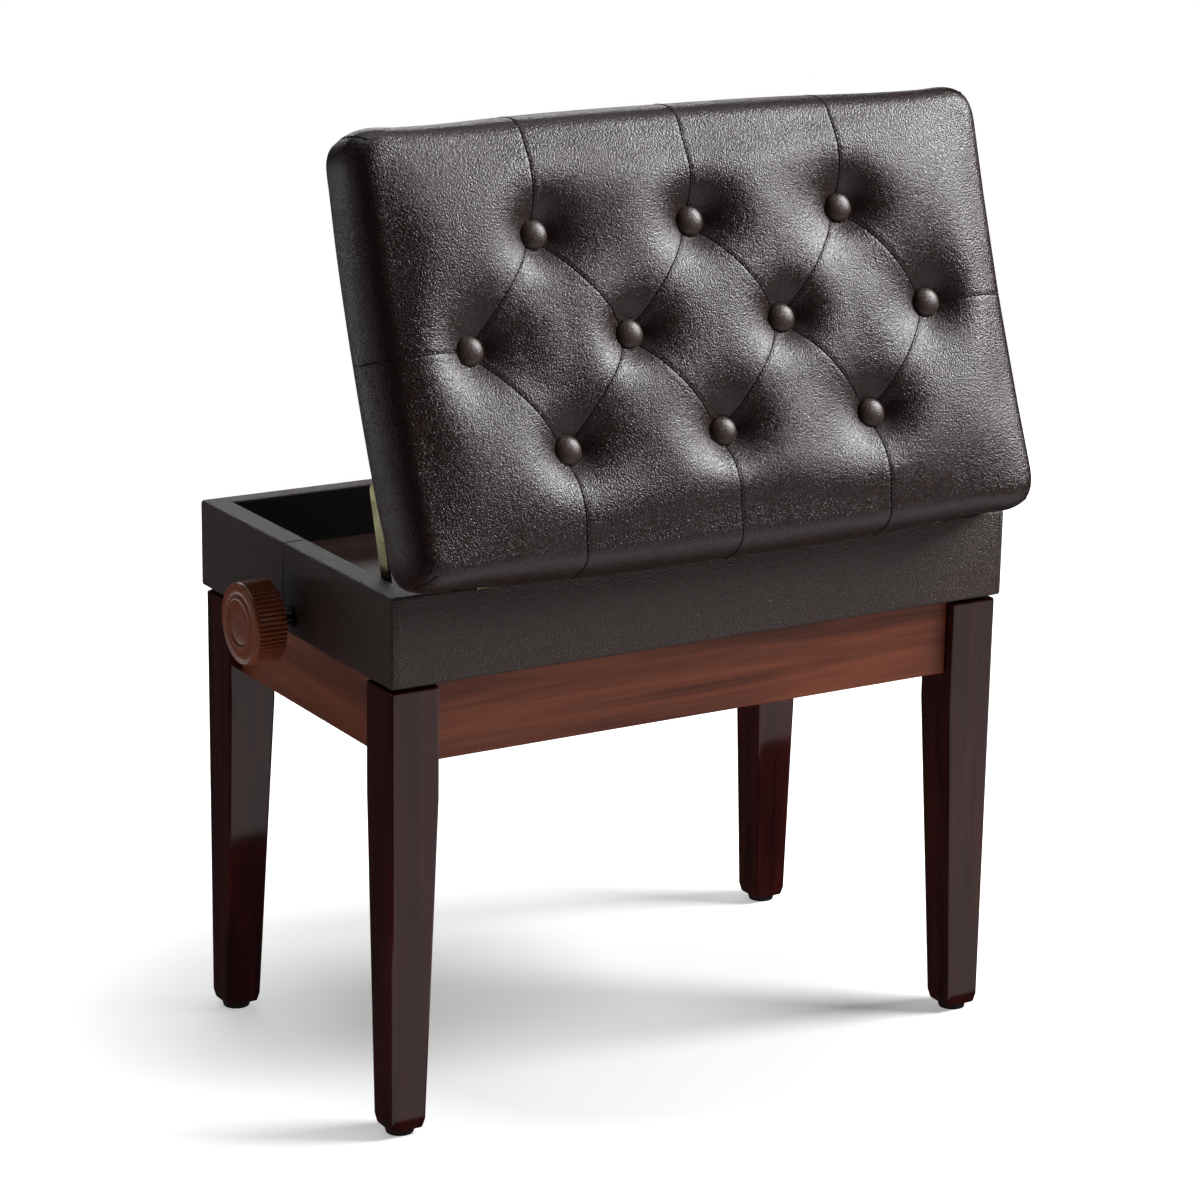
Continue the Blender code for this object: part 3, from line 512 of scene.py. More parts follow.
def inflate(piece, pinned):
    """Cloth simulation of the leather skin under pressure from the foam, with each point's travel capped."""
    start = [vert.co.copy() for vert in piece.data.vertices]
    cloth = piece.modifiers.new("skin", "CLOTH")
    settings = cloth.settings
    settings.quality = 6
    settings.mass = 0.3
    settings.tension_stiffness = 14.0
    settings.compression_stiffness = 14.0
    settings.shear_stiffness = 8.0
    settings.bending_stiffness = 12.0
    settings.vertex_group_mass = pinned
    settings.use_pressure = True
    settings.uniform_pressure_force = 2.2
    settings.shrink_min = 0.012
    settings.effector_weights.gravity = 0.0
    cloth.point_cache.frame_start = 1
    cloth.point_cache.frame_end = SIM_FRAMES
    for step in range(1, SIM_FRAMES + 1):
        SCENE.frame_set(step)
    bake_modifiers(piece)
    travel = np.array([vert.co - rest for vert, rest in zip(piece.data.vertices, start)])
    travel = smoothed(piece.data, travel, SIM_SMOOTHING)
    length = np.linalg.norm(travel, axis=1, keepdims=True)
    travel *= np.minimum(1.0, SIM_CAP / np.maximum(length, 1e-9))
    for vert, rest, move in zip(piece.data.vertices, start, travel):
        vert.co = rest + Vector(move)
    SCENE.frame_set(1)


def smoothed(mesh, values, rounds):
    """Averages a vector per point with its neighbours', so that the foam's swell stays and the crumples go."""
    ends = np.array([edge.vertices[:] for edge in mesh.edges])
    count = np.bincount(ends.ravel(), minlength=len(values))[:, None]
    for _ in range(rounds):
        total = np.zeros_like(values)
        np.add.at(total, ends[:, 0], values[ends[:, 1]])
        np.add.at(total, ends[:, 1], values[ends[:, 0]])
        values = 0.5 * values + 0.5 * total / count
    return values


def seam_lines():
    """Plan routes of the seams: between neighbouring buttons in the diamond, and from the outer ones to the edges."""
    rows = {}
    for x, v in BUTTON_CENTRES:
        rows.setdefault(round(v, 3), []).append(Vector((x, v)))
    low_row, middle_row, high_row = (sorted(rows[key], key=lambda at: at.x) for key in sorted(rows))
    pitch = middle_row[1].x - middle_row[0].x
    between = [(first, second) for row in (low_row, high_row) for first in row for second in middle_row
               if abs(first.x - second.x) < pitch * 0.6]
    to_edges = [(at, Vector((at.x, PAD_LOW.y))) for at in low_row]
    to_edges += [(at, Vector((at.x, PAD_HIGH.y))) for at in high_row]
    to_edges += [(middle_row[0], Vector((PAD_LOW.x, middle_row[0].y)))]
    to_edges += [(middle_row[-1], Vector((PAD_HIGH.x, middle_row[-1].y)))]
    return between, to_edges


def line_distances(points, start, end):
    """Plan distance of each point from a line between two places."""
    start, along = np.array(start), np.array(end - start)
    share = np.clip((points[:, :2] - start) @ along / (along @ along), 0.0, 1.0)
    return np.linalg.norm(points[:, :2] - start - share[:, None] * along, axis=1)


def mesh_array(mesh, what, kind):
    """One vector for each of the mesh's points, as rows of an array."""
    values = np.empty(len(mesh.vertices) * 3)
    getattr(mesh, what).foreach_get(kind, values)
    return values.reshape(-1, 3)


def sew_seams(piece):
    """Draws the leather in along each seam and at each corner's pleat, in a narrow crease."""
    between, to_edges = seam_lines()
    points = mesh_array(piece.data, "vertices", "co")
    normals = mesh_array(piece.data, "vertex_normals", "vector")
    distance = np.min([line_distances(points, *line) for line in between + to_edges + corner_pleats()], axis=0)
    crease = SEAM_CREASE * np.exp(-(distance / SEAM_CREASE_WIDTH) ** 2)
    crease[points[:, 2] < PAD_BASE_N + 0.002] = 0.0
    points -= normals * crease[:, None]
    piece.data.vertices.foreach_set("co", points.ravel())
    piece.data.update()


def corner_pleats():
    """Plan lines of the short stitched pleats at the pad's corners."""
    lines = []
    for side_x in (-1, 1):
        for side_v in (-1, 1):
            corner = Vector((side_x * PAD_HIGH.x, PAD_MID_V + side_v * (PAD_HIGH.y - PAD_LOW.y) / 2))
            inward = Vector((-side_x * 0.80, -side_v * 0.60))
            lines.append((corner + inward * PLEAT_REACH, corner))
    return lines


def add_levels(piece, levels):
    """Subdivides the piece's mesh for good."""
    subdivision = piece.modifiers.new("fine", "SUBSURF")
    subdivision.levels = levels
    subdivision.render_levels = levels
    bake_modifiers(piece)


def close_base(piece):
    """Closes the pad with a flat base in the plane where the leather is turned under the board."""
    shape = bmesh.new()
    shape.from_mesh(piece.data)
    rim = [edge for edge in shape.edges if edge.is_boundary]
    for edge in rim:
        for vert in edge.verts:
            vert.co.z = PAD_BASE_N
    bmesh.ops.holes_fill(shape, edges=rim)
    bmesh.ops.recalc_face_normals(shape, faces=shape.faces)
    shape.to_mesh(piece.data)
    shape.free()


def make_pad():
    """The buttoned seat pad; returns a search tree of its skin in the lid's own frame."""
    pad = add_piece("seat_pad", make_pad_mesh(), [SEAT_LEATHER], None, 180.0)
    inflate(pad, pin_weights(pad))
    pad.vertex_groups.clear()
    add_levels(pad, PAD_FINENESS)
    sew_seams(pad)
    close_base(pad)
    pad.data.shade_smooth()
    tree = BVHTree.FromObject(pad, bpy.context.evaluated_depsgraph_get())
    pad.matrix_world = LID_PLACE
    finish_piece(pad, "lid", "leather", "lid_cushion")
    return tree


def on_pad(tree, at, target):
    """Point on the pad's skin, from a place outside it towards a target inside it, or None."""
    return tree.ray_cast(at, (target - at).normalized())[0]


def thread_paths(tree):
    """Route of each seam's thread, along the crease and over the pad's edge."""
    between, to_edges = seam_lines()
    pleats = corner_pleats()
    paths = []
    for start, end in between + to_edges + pleats:
        direction = (end - start).normalized()
        first = start if (start, end) in pleats else start + direction * BUTTON_RIM
        at_edge = (start, end) not in between
        last = end - direction * (EDGE_ROLL * 1.2 if at_edge else BUTTON_RIM)
        plan = [first.lerp(last, step / SEAM_SAMPLES) for step in range(SEAM_SAMPLES + 1)]
        route = [on_pad(tree, Vector((*at, OUTSIDE_PAD)), Vector((*at, 0.0))) for at in plan]
        if at_edge:
            route += turned_over_edge(tree, last, direction)
        paths.append([at for at in route if at is not None])
    return paths


def turned_over_edge(tree, last, direction):
    """Points where a seam goes on from the top over the pad's roll and down its side."""
    core = Vector((*last, PAD_EDGE_N * 0.5))
    points = []
    for step in range(1, TURN_OVER_SAMPLES + 1):
        angle = math.radians(90 - TURN_OVER_ANGLE * step / TURN_OVER_SAMPLES)
        out = Vector((direction.x * math.cos(angle), direction.y * math.cos(angle), math.sin(angle)))
        hit = on_pad(tree, core + out * OUTSIDE_PAD, core)
        if hit is not None and hit.z > PAD_BASE_N + 0.001:
            points.append(hit)
    return points


def make_threads(tree):
    """Sewing thread in the seams: each stitch stands up a little between its two holes."""
    splines = []
    for route in thread_paths(tree):
        length = 0.0
        lengths = [0.0]
        for first, second in zip(route, route[1:]):
            length += (second - first).length
            lengths.append(length)
        stitches = max(int(length / STITCH_PITCH), 1)
        for stitch in range(stitches):
            path = []
            for share, rise in STITCH_SHAPE:
                at, normal = point_at(tree, route, lengths, (stitch + share) / stitches * length)
                path.append(at + normal * THREAD_RADIUS * rise)
            splines.append(path)
    threads = add_wire("seam_threads", splines, THREAD_RADIUS, THREAD, LID_PLACE, 1)
    finish_piece(threads, "lid", "leather")


def point_at(tree, route, lengths, wanted):
    """Place and normal on the pad's skin at a wanted length along a route."""
    for index in range(1, len(route)):
        if lengths[index] >= wanted or index == len(route) - 1:
            span = max(lengths[index] - lengths[index - 1], 1e-9)
            at = route[index - 1].lerp(route[index], (wanted - lengths[index - 1]) / span)
            near, normal, _, _ = tree.find_nearest(at)
            return near, normal


BUTTON_PROFILE = [(0.0, 1.0), (0.2, 0.985), (0.4, 0.93), (0.6, 0.83), (0.76, 0.69), (0.88, 0.52), (0.96, 0.34),
                  (1.0, 0.16), (0.985, 0.02), (0.93, -0.06)]


def make_button_covers():
    """Leather-covered buttons: domes with a tucked-in rim."""
    height = BUTTON_BOXES[0][1].z - BUTTON_BASE_N
    for number, (x, v) in enumerate(BUTTON_CENTRES, start=1):
        shape = bmesh.new()
        add_turned(shape, Matrix(), BUTTON_PROFILE, BUTTON_RADIUS, height, 40)
        place = LID_PLACE @ Matrix.Translation((x, v, BUTTON_BASE_N))
        button = add_piece("button_cover_%d" % number, shape, [BUTTON_LEATHER], place, 60.0)
        finish_piece(button, "lid", "leather", "button_%d" % number)


# Leather covers of the seat box

COVER_EDGE = 0.0026
CORNER_WRAP = 0.0046
COVER_TURN_IN = 0.0032
COVER_GAP = 0.0003


def cover_mesh(outline, low_z, high_z, rounded_edges, rounded_corners, lined_edge):
    """Upright board cover from a plan outline, with bevel weights on some plan edges and some upright corners."""
    shape = bmesh.new()
    low = [shape.verts.new((x, y, low_z)) for x, y in outline]
    high = [shape.verts.new((x, y, high_z)) for x, y in outline]
    weight = shape.edges.layers.float.new("bevel_weight_edge")
    shape.faces.new(low[::-1])
    shape.faces.new(high)
    for index in range(len(outline)):
        follow = (index + 1) % len(outline)
        face = shape.faces.new((low[index], low[follow], high[follow], high[index]))
        if index == lined_edge:
            face.material_index = 1
        if index in rounded_edges:
            for loop in (low, high):
                shape.edges.get((loop[index], loop[follow]))[weight] = 1.0
    for corner in rounded_corners:
        shape.edges.get((low[corner], high[corner]))[weight] = 1.0
    return shape


def make_box_covers():
    """Four leather-covered boards, mitred at the rim, with the end boards' leather turned round the corners."""
    low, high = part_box("box_panel_right")
    half_x, inner_x = high.x, low.x
    half_y = high.y - CENTRE_Y
    inner_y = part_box("box_panel_back")[0].y - CENTRE_Y
    wrap_x = half_x - CORNER_WRAP
    turn_y = half_y - COVER_TURN_IN
    for word, end in (("left", -1), ("right", 1)):
        outline = [(half_x, -half_y), (half_x, half_y), (wrap_x, half_y), (wrap_x, turn_y), (inner_x, inner_y),
                   (inner_x, -inner_y), (wrap_x, -turn_y), (wrap_x, -half_y)]
        outline = [(end * x, y + CENTRE_Y) for x, y in outline]
        finish_cover(word, cover_mesh(outline, low.z, high.z, (0, 1, 4, 7), (0, 1), 4))
    edge_x = wrap_x - COVER_GAP
    for word, side in (("front", -1), ("back", 1)):
        outline = [(edge_x, half_y), (-edge_x, half_y), (-edge_x, turn_y + COVER_GAP),
                   (-inner_x + COVER_GAP, inner_y), (inner_x - COVER_GAP, inner_y), (edge_x, turn_y + COVER_GAP)]
        outline = [(x, side * y + CENTRE_Y) for x, y in outline]
        finish_cover(word, cover_mesh(outline, low.z, high.z, (0, 3), (), 3))


def finish_cover(word, shape):
    """Rounds the weighted edges and puts the cover in its board's place."""
    cover = add_piece("box_cover_" + word, shape, [BOX_LEATHER, LINING], None, 40.0)
    bevel = cover.modifiers.new("rounded", "BEVEL")
    bevel.limit_method = "WEIGHT"
    bevel.width = COVER_EDGE
    bevel.segments = 4
    bake_modifiers(cover)
    cover.data.shade_smooth()
    cover.data.set_sharp_from_angle(angle=math.radians(35))
    finish_piece(cover, "seat_box", "leather", "box_panel_" + word)


# Seams of the box covers

END_SEAM_FROM_CENTRE = 0.0137
COVER_SEAM_RADIUS = 0.00045


def make_cover_seams():
    """Upright seam in each end cover, where two strips of the leather meet."""
    low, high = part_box("box_panel_right")
    y = CENTRE_Y + END_SEAM_FROM_CENTRE
    for word, end in (("left", -1), ("right", 1)):
        inner_x, outer_x = end * low.x, end * high.x
        route = [(outer_x, y, low.z + COVER_EDGE), (outer_x, y, high.z - COVER_EDGE),
                 (outer_x - end * COVER_EDGE * 0.3, y, high.z - COVER_EDGE * 0.3),
                 (outer_x - end * COVER_EDGE, y, high.z), (inner_x + end * COVER_EDGE, y, high.z)]
        seam = add_wire("cover_seam_" + word, [route], COVER_SEAM_RADIUS, BOX_LEATHER, None, 2)
        finish_piece(seam, "seat_box", "leather")


# Underside of the lid

LINING_HALF_X = 0.262
LINING_V = (0.024, 0.325)
LINING_N = (0.0009, 0.0016)
LINING_CORNER = 0.012
LINING_MID_V = sum(LINING_V) / 2
LINING_HALF_V = (LINING_V[1] - LINING_V[0]) / 2
STAPLE_PITCH = 0.028
STAPLE_HALF = 0.005
STAPLE_LEG = 0.002
STAPLE_INSET = 0.004
STAPLE_FROM_CORNER = 0.020
STAPLE_RADIUS = 0.00035


def make_lid_lining():
    """Black lining over the board's underside, held round its edge with staples."""
    shape = bmesh.new()
    bmesh.ops.create_cube(shape, size=1.0)
    size = (2 * LINING_HALF_X, 2 * LINING_HALF_V, LINING_N[1] - LINING_N[0])
    bmesh.ops.scale(shape, vec=size, verts=shape.verts)
    upright = [edge for edge in shape.edges if abs(edge.verts[0].co.z - edge.verts[1].co.z) > 1e-5]
    bmesh.ops.bevel(shape, geom=upright, offset=LINING_CORNER, segments=5, profile=0.5, affect="EDGES")
    place = LID_PLACE @ Matrix.Translation((0.0, LINING_MID_V, sum(LINING_N) / 2))
    lining = add_piece("lid_lining", shape, [LINING], place, 40.0)
    finish_piece(lining, "lid", "board")
    staples = []
    for side in (-1, 1):
        edge_x = side * (LINING_HALF_X - STAPLE_INSET)
        edge_v = LINING_MID_V + side * (LINING_HALF_V - STAPLE_INSET)
        staples += [staple_path(x, edge_v, (1.0, 0.0)) for x in spaced(LINING_HALF_X - STAPLE_FROM_CORNER)]
        staples += [staple_path(edge_x, LINING_MID_V + v, (0.0, 1.0))
                    for v in spaced(LINING_HALF_V - STAPLE_FROM_CORNER)]
    wires = add_wire("lid_staples", staples, STAPLE_RADIUS, STEEL, LID_PLACE, 1)
    finish_piece(wires, "lid", "steel")


def spaced(half):
    """Places from -half to half, about a staple's pitch apart."""
    count = round(2 * half / STAPLE_PITCH)
    return [half * (2 * step / count - 1) for step in range(count + 1)]


def staple_path(x, v, along):
    """A staple's crown on the lining, with a leg into the board at each end."""
    level = LINING_N[0] - STAPLE_RADIUS * 0.5
    ends = [Vector((x + share * STAPLE_HALF * along[0], v + share * STAPLE_HALF * along[1], level))
            for share in (-1, 1)]
    into_board = Vector((0.0, 0.0, STAPLE_LEG))
    return [ends[0] + into_board, ends[0], ends[1], ends[1] + into_board]


# Screws, bolts and bushings

# Profiles are (share of radius, share of height) points from the middle outwards.
PAN_HEAD = [(0.0, 0.45), (0.36, 0.45), (0.42, 1.0), (0.70, 0.90), (0.92, 0.55), (1.0, 0.0)]
FLUSH_HEAD = [(0.0, 0.10), (0.34, 0.10), (0.40, 1.0), (0.94, 1.0), (1.0, 0.0)]
WASHER = [(0.0, 1.0), (0.95, 1.0), (1.0, 0.8), (1.0, 0.0)]
NUT = [(0.0, 1.0), (0.86, 1.0), (1.0, 0.86), (1.0, 0.0)]
BOLT_END = [(0.0, 1.0), (0.80, 1.0), (1.0, 0.90), (1.0, 0.0)]
BUSHING = [(0.72, 0.0), (0.72, 0.8), (0.76, 1.0), (0.94, 1.0), (1.0, 0.7), (1.0, 0.0)]

HINGE_LEAF = 0.0015
HINGE_SCREW_RADIUS = 0.0026
HINGE_SCREW_RISE = 0.00014
HINGE_SCREW_SPOTS = ((0.17, 0.0080), (0.5, 0.0150), (0.83, 0.0080))
STAY_PLATE = 0.0016
STAY_PLATE_SCREW_Y = 0.0088
STAY_PLATE_SCREW_Z = 0.0056
STAY_FOOT_SCREW_X = 0.0045
STAY_FOOT_SCREW_V = 0.0048
BRACKET_FLANGE = 0.026
BRACKET_THICKNESS = 0.0014
RAIL_SCREW_X = (-0.1765, -0.075, 0.075, 0.1765)
UPPER_RAIL_SCREW_RISE = 0.0035
BUSHING_RADIUS = 0.0085
BUSHING_FLANGE = 0.0014


def facing(at, direction):
    """Place at a point, with its Z axis along a direction."""
    return Matrix.Translation(at) @ Vector(direction).to_track_quat("Z", "Y").to_matrix().to_4x4()


def add_heads(name, places, profile, radius, height, material, body, slot):
    """One piece with the same turned head at every place."""
    shape = bmesh.new()
    for place in places:
        add_turned(shape, place, profile, radius, height)
    heads = add_piece(name, shape, [material], None, 35.0)
    finish_piece(heads, body, slot)


def make_hinge_screws():
    """Flush screws, three in a zigzag in each hinge leaf."""
    leaf_n = BOARD_BASE_N - HINGE_LEAF
    lid_places = []
    box_places = []
    for word in ("left", "right"):
        low, high = lid_box("hinge_lid_leaf_" + word)
        for share, depth in HINGE_SCREW_SPOTS:
            x = low.x + (high.x - low.x) * share
            lid_places.append(LID_PLACE @ facing((x, depth, leaf_n), (0.0, 0.0, -1.0)))
            box_places.append(facing((x, HINGE.y + depth, HINGE.z - leaf_n), (0.0, 0.0, 1.0)))
    for word, places, body in (("lid", lid_places, "lid"), ("box", box_places, "seat_box")):
        add_heads("hinge_%s_screws" % word, places, FLUSH_HEAD, HINGE_SCREW_RADIUS, HINGE_SCREW_RISE, ZINC, body,
                  "zinc")


def make_stay_screws():
    """Four flush screws in the stay's wall plate and two pan heads in its foot on the lid."""
    low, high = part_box("stay_wall_bracket")
    wall_x = low.x + STAY_PLATE
    mid_y, mid_z = (low.y + high.y) / 2, (low.z + high.z) / 2
    places = [facing((wall_x, mid_y + side_y * STAY_PLATE_SCREW_Y, mid_z + side_z * STAY_PLATE_SCREW_Z),
                     (1.0, 0.0, 0.0)) for side_y in (-1, 1) for side_z in (-1, 1)]
    add_heads("stay_wall_screws", places, FLUSH_HEAD, 0.0020, 0.00025, ZINC, "seat_box", "zinc")
    low, high = lid_box("stay_lid_bracket")
    foot_x, mid_v = high.x - STAY_FOOT_SCREW_X, (low.y + high.y) / 2
    places = [LID_PLACE @ facing((foot_x, mid_v + side * STAY_FOOT_SCREW_V, 0.0), (0.0, 0.0, -1.0))
              for side in (-1, 1)]
    add_heads("stay_lid_screws", places, PAN_HEAD, 0.0026, 0.0012, ZINC, "lid", "zinc")


def make_leg_bolts():
    """A bolt end with its washer and hexagon nut through each corner bracket into the leg."""
    shape = bmesh.new()
    for side_word, side in (("front", -1), ("back", 1)):
        for end_word, end in (("left", -1), ("right", 1)):
            low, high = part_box("corner_bracket_%s_%s" % (side_word, end_word))
            wall = Vector((high.x if end > 0 else low.x, high.y if side > 0 else low.y, (low.z + high.z) / 2))
            inward = Vector((-end, -side, 0.0))
            reach = (high.x - low.x - BRACKET_FLANGE) / 2 + BRACKET_THICKNESS
            place = facing(wall + inward * reach, inward)
            add_turned(shape, place, WASHER, 0.0085, 0.0014)
            add_turned(shape, place, NUT, 0.0062, 0.0068, 6)
            add_turned(shape, place, BOLT_END, 0.0030, 0.0125, 16)
    bolts = add_piece("leg_bolts", shape, [STEEL], None, 35.0)
    finish_piece(bolts, "leg_frame", "steel")


def make_rail_screws():
    """Pan-head screws that hold the scissor's rails to the long walls."""
    for name, body, rise in (("lower_rail", "leg_frame", 0.0), ("upper_rail", "seat_box", UPPER_RAIL_SCREW_RISE)):
        places = []
        for side_word, side in (("front", 1), ("back", -1)):
            low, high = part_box("%s_%s" % (name, side_word))
            y = high.y if side > 0 else low.y
            level = (low.z + high.z) / 2 + rise
            places += [facing((x, y, level), (0.0, side, 0.0)) for x in RAIL_SCREW_X]
        add_heads(name + "_screws", places, PAN_HEAD, 0.0038, 0.0016, STEEL, body, "steel")


def make_bushings():
    """Flanged bushings that carry the screw rod in the end panels."""
    wall_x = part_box("box_panel_right")[1].x
    shape = bmesh.new()
    for end in (-1, 1):
        place = facing((end * wall_x, CENTRE_Y, SCREW_Z), (end, 0.0, 0.0))
        rings = [add_ring(shape, place, BUSHING_RADIUS * share, BUSHING_FLANGE * level, 32)
                 for share, level in BUSHING]
        join_rings(shape, rings + rings[:1])
    # The bushings take the near-black steel, painted shade for the gap behind the knobs.
    bushings = add_piece("rod_bushings", shape, [SHADE_DARK_STEEL], None, 35.0)
    finish_piece(bushings, "seat_box", "steel")


# Threaded rod

THREAD_PITCH = 0.0040
THREAD_DEPTH = 0.0007
THREAD_HALF = 0.236
THREAD_RUNOUT = 0.004
ROD_CHAMFER = 0.0008


def thread_dip(x, angle):
    """How far a point lies below the rod's full radius, on a round thread with flat crests."""
    if abs(x) > THREAD_HALF:
        return 0.0
    wave = 0.5 + 0.9 * math.cos(2 * math.pi * x / THREAD_PITCH - angle)
    return THREAD_DEPTH * (1 - min(max(wave, 0.0), 1.0))


def make_threaded_rod():
    """Screw rod with a round thread between its plain ends."""
    low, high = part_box("drive_screw_rod")
    radius = (high.z - low.z) / 2
    step_x = THREAD_PITCH / 8
    steps = round(2 * THREAD_HALF / step_x)
    stations = [low.x, low.x + ROD_CHAMFER, -THREAD_HALF - THREAD_RUNOUT]
    stations += [-THREAD_HALF + index * step_x for index in range(steps + 1)]
    stations += [THREAD_HALF + THREAD_RUNOUT, high.x - ROD_CHAMFER, high.x]
    shape = bmesh.new()
    rings = []
    for x in stations:
        chamfer = ROD_CHAMFER if x in (low.x, high.x) else 0.0
        ring = []
        for angle in ring_angles(20):
            reach = radius - max(chamfer, thread_dip(x, angle))
            ring.append(shape.verts.new((x, CENTRE_Y + reach * math.cos(angle), SCREW_Z + reach * math.sin(angle))))
        rings.append(ring)
    join_rings(shape, rings)
    shape.faces.new(rings[0])
    shape.faces.new(rings[-1])
    # The rod takes the near-black steel, painted shade where it shows in the gap behind the knobs.
    rod = add_piece("threaded_rod", shape, [SHADE_DARK_STEEL], None, 50.0)
    finish_piece(rod, "drive_screw", "steel", "drive_screw_rod")


# Knobs

KNOB_RIBS = 56
KNOB_SEGMENTS = KNOB_RIBS * 6
RIB_DEPTH = 0.0014
# Share of the radius and height from the front: dished centre, raised ring, flat, lip.
KNOB_FRONT = [(0.20, -0.0014), (0.46, -0.0014), (0.500, -0.0012), (0.530, -0.0005), (0.555, 0.0), (0.585, 0.0001),
              (0.640, -0.0004), (0.700, -0.0012), (0.745, -0.0015), (0.925, -0.0015), (0.948, -0.0011),
              (0.968, -0.0012), (0.985, -0.0018), (0.992, -0.0028), (0.992, -0.0036)]


def make_knobs():
    """Ribbed plastic knobs with a smooth front lip, a raised ring and a dished centre."""
    for word, end in (("left", -1), ("right", 1)):
        low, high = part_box("knob_" + word)
        depth = high.x - low.x
        sections = [(share, depth + level, 0.0) for share, level in KNOB_FRONT]
        sections += [(0.996, depth - 0.0041, RIB_DEPTH * 0.6), (1.0, depth - 0.0047, RIB_DEPTH),
                     (1.0, 0.0016, RIB_DEPTH), (0.985, 0.0, RIB_DEPTH), (0.90, 0.0, 0.0)]
        shape = bmesh.new()
        rings = [knob_ring(shape, (high.z - low.z) / 2 * share, level, rib) for share, level, rib in sections]
        join_rings(shape, rings)
        shape.faces.new(rings[0])
        shape.faces.new(rings[-1])
        rear = low.x if end > 0 else high.x
        place = Matrix.Translation((rear, CENTRE_Y, SCREW_Z)) @ Matrix.Rotation(end * math.radians(90), 4, "Y")
        knob = add_piece("ribbed_knob_" + word, shape, [KNOB_PLASTIC], place, 50.0)
        finish_piece(knob, "drive_screw", "knob_plastic", "knob_" + word)


def knob_ring(shape, radius, level, rib):
    """Ring of points; with a rib depth, the radius dips between the knob's ribs."""
    ring = []
    for angle in ring_angles(KNOB_SEGMENTS):
        wave = max(math.cos(angle * KNOB_RIBS), -0.35)
        reach = radius - rib * 0.65 * (1 - wave)
        ring.append(shape.verts.new((reach * math.cos(angle), reach * math.sin(angle), level)))
    return ring


# Studio

FLOOR_GLOW = 0.17
FLOOR_EDGE_GLOW = 0.80
FLOOR_GLOW_FROM = 0.20
FLOOR_GLOW_TO = 0.46
FLOOR_HALF = 1.7
UNDER_FLOOR = -0.02


def make_floor():
    """White floor that takes the shadows and glows to full white round them, unseen by reflections."""
    shape = bmesh.new()
    bmesh.ops.create_grid(shape, x_segments=2, y_segments=2, size=FLOOR_HALF)
    shader = Shader("studio_floor", 0.8, specular=0.1)
    shader.set("Base Color", (0.80, 0.80, 0.80, 1.0))
    shader.set("Emission Color", (1.0, 1.0, 1.0, 1.0))
    place = shader.node("ShaderNodeVectorMath", operation="LENGTH")
    shader.link(shader.coordinates(), place.inputs[0])
    glow = shader.spread(place.outputs["Value"], FLOOR_GLOW_FROM, FLOOR_GLOW_TO, FLOOR_GLOW, FLOOR_EDGE_GLOW)
    shader.link(glow, shader.principled.inputs["Emission Strength"])
    floor = add_piece("studio_floor", shape, [shader.material])
    floor.visible_glossy = False


def add_light(name, location, target, size, power):
    """Rectangular area light that faces a target."""
    lamp = bpy.data.lights.new(name, "AREA")
    lamp.shape = "RECTANGLE"
    lamp.size, lamp.size_y = size
    lamp.energy = power
    light = bpy.data.objects.new(name, lamp)
    light.location = location
    light.rotation_euler = (Vector(target) - Vector(location)).to_track_quat("-Z", "Y").to_euler()
    SCENE.collection.objects.link(light)


def make_lights():
    """Softboxes round the bench, and two lights under the floor in place of its reflection."""
    middle = (0.0, 0.0, 0.50)
    add_light("key_softbox", (2.45, -1.15, 2.20), middle, (1.3, 1.6), 172.0)
    add_light("overhead", (0.1, 0.4, 3.0), (0.0, 0.0, 0.3), (2.6, 2.0), 22.0)
    add_light("strip_left", (-2.4, 0.55, 0.55), middle, (0.5, 1.4), 2.0)
    add_light("back_rim", (0.8, 2.9, 1.7), middle, (2.4, 0.5), 20.0)
    add_light("floor_bounce", (0.55, -1.25, UNDER_FLOOR), (0.55, -1.25, 1.0), (1.9, 2.1), 9.0)
    add_light("floor_bounce_back", (-1.9, 2.5, UNDER_FLOOR), (-1.9, 2.5, 1.0), (1.5, 1.7), 24.0)


def make_world():
    """Dim world that the camera sees as plain white."""
    world = bpy.data.worlds.new("studio")
    SCENE.world = world
    world.use_nodes = True
    tree = world.node_tree
    background = tree.nodes["Background"]
    background.inputs["Color"].default_value = (0.95, 0.97, 1.0, 1.0)
    background.inputs["Strength"].default_value = 0.03
    seen = tree.nodes.new("ShaderNodeBackground")
    seen.inputs["Color"].default_value = (1.0, 1.0, 1.0, 1.0)
    paths = tree.nodes.new("ShaderNodeLightPath")
    mix = tree.nodes.new("ShaderNodeMixShader")
    tree.links.new(paths.outputs["Is Camera Ray"], mix.inputs["Fac"])
    tree.links.new(background.outputs["Background"], mix.inputs[1])
    tree.links.new(seen.outputs["Background"], mix.inputs[2])
    tree.links.new(mix.outputs["Shader"], tree.nodes["World Output"].inputs["Surface"])
    SCENE.view_settings.view_transform = "Standard"


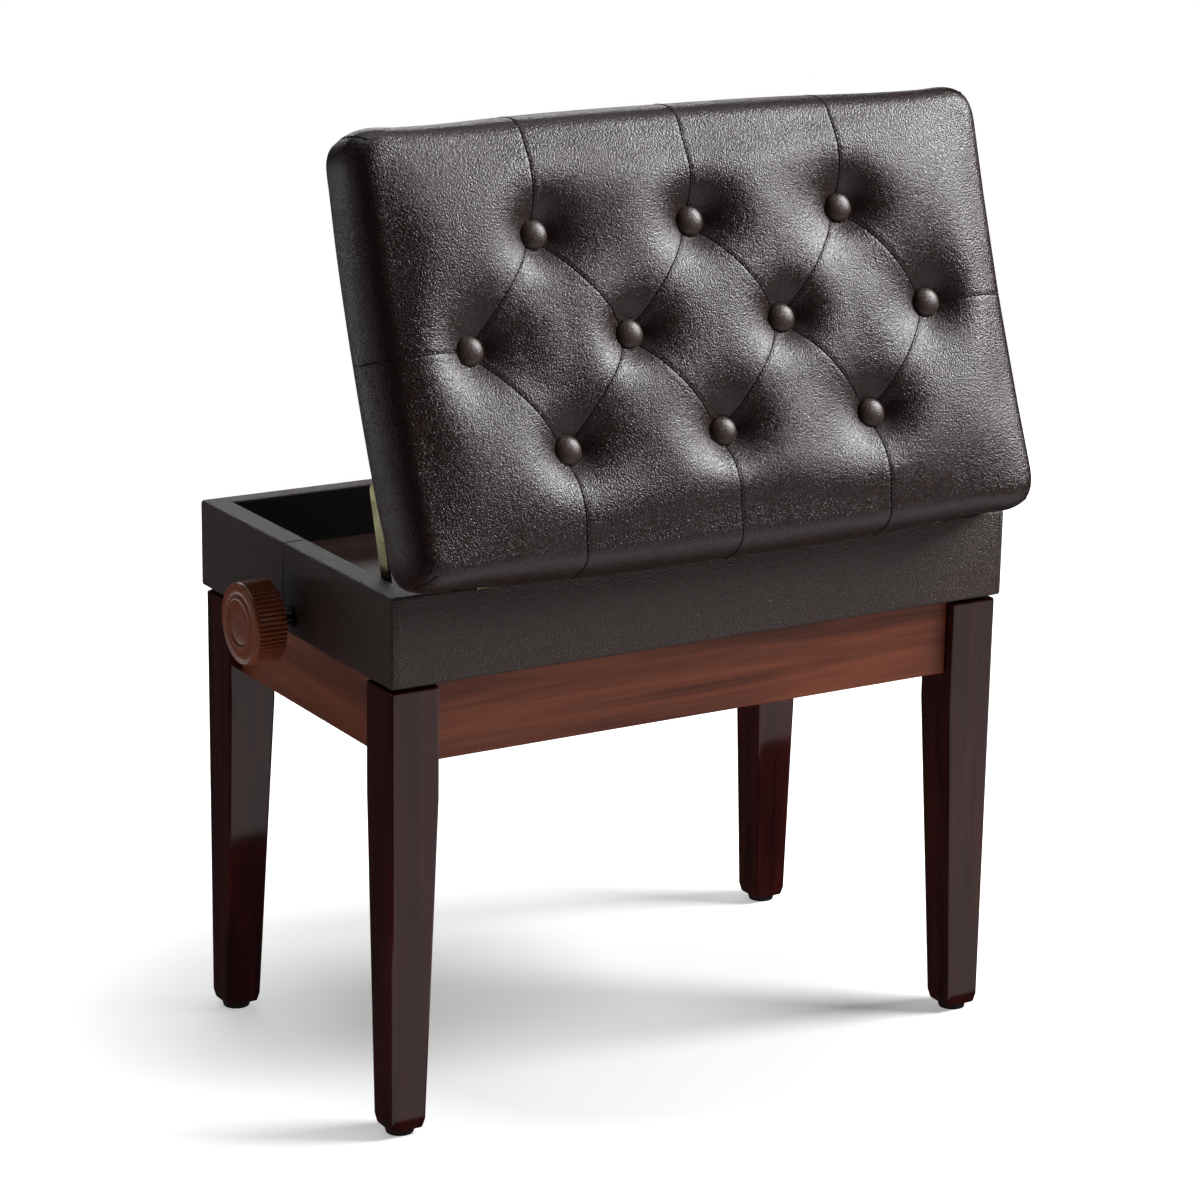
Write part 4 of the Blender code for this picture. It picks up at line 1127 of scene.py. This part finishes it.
CAMERA_AZIMUTH = math.radians(-31.174)
CAMERA_ELEVATION = math.radians(15.929)
CAMERA_ROLL = math.radians(0.882)
CAMERA_FROM_BOX = Vector((-1.4407, -2.3792, 1.1411))
CAMERA_LENS = 108.5


def make_camera():
    """Camera at the photograph's angle, placed from the middle of the seat box."""
    right = Vector((math.cos(CAMERA_AZIMUTH), math.sin(CAMERA_AZIMUTH), 0.0))
    level_back = Vector((math.sin(CAMERA_AZIMUTH), -math.cos(CAMERA_AZIMUTH), 0.0))
    back = level_back * math.cos(CAMERA_ELEVATION) + Vector((0.0, 0.0, math.sin(CAMERA_ELEVATION)))
    up = back.cross(right)
    rolled_right = right * math.cos(CAMERA_ROLL) + up * math.sin(CAMERA_ROLL)
    rolled_up = up * math.cos(CAMERA_ROLL) - right * math.sin(CAMERA_ROLL)
    turn = Matrix((rolled_right, rolled_up, back)).transposed().to_4x4()
    lens = bpy.data.cameras.new("camera")
    lens.lens = CAMERA_LENS
    lens.sensor_width = 36.0
    camera = bpy.data.objects.new("camera", lens)
    camera.matrix_world = Matrix.Translation(CAMERA_FROM_BOX + Vector((0.0, CENTRE_Y, 0.0))) @ turn
    SCENE.collection.objects.link(camera)
    SCENE.camera = camera


# Finishes of the CAD nodes that stay, by the start of their names; any other node that stays is plain steel.
FINISHES = (
    (("leg_",), LACQUER),
    (("glide_",), RUBBER),
    (("hinge_", "stay_"), ZINC),
    (("apron_front", "apron_back"), APRON_LONG),
    (("apron_left", "apron_right"), APRON_SHORT),
    (("tray_floor", "lid_board"), BOARD_STAIN),
)
COVERED = ("box_panel", "button_", "knob_", "lid_cushion")


def paint_frame():
    """Paints the CAD nodes that no piece covers."""
    for name in NODES:
        if not name.startswith(COVERED):
            materials = NODES[name].data.materials
            materials.clear()
            materials.append(next((finish for starts, finish in FINISHES if name.startswith(starts)), STEEL))


make_camera()
make_floor()
make_lights()
make_world()
paint_frame()
pad_tree = make_pad()
make_threads(pad_tree)
make_button_covers()
make_box_covers()
make_cover_seams()
make_lid_lining()
make_hinge_screws()
make_stay_screws()
make_leg_bolts()
make_rail_screws()
make_bushings()
make_threaded_rod()
make_knobs()
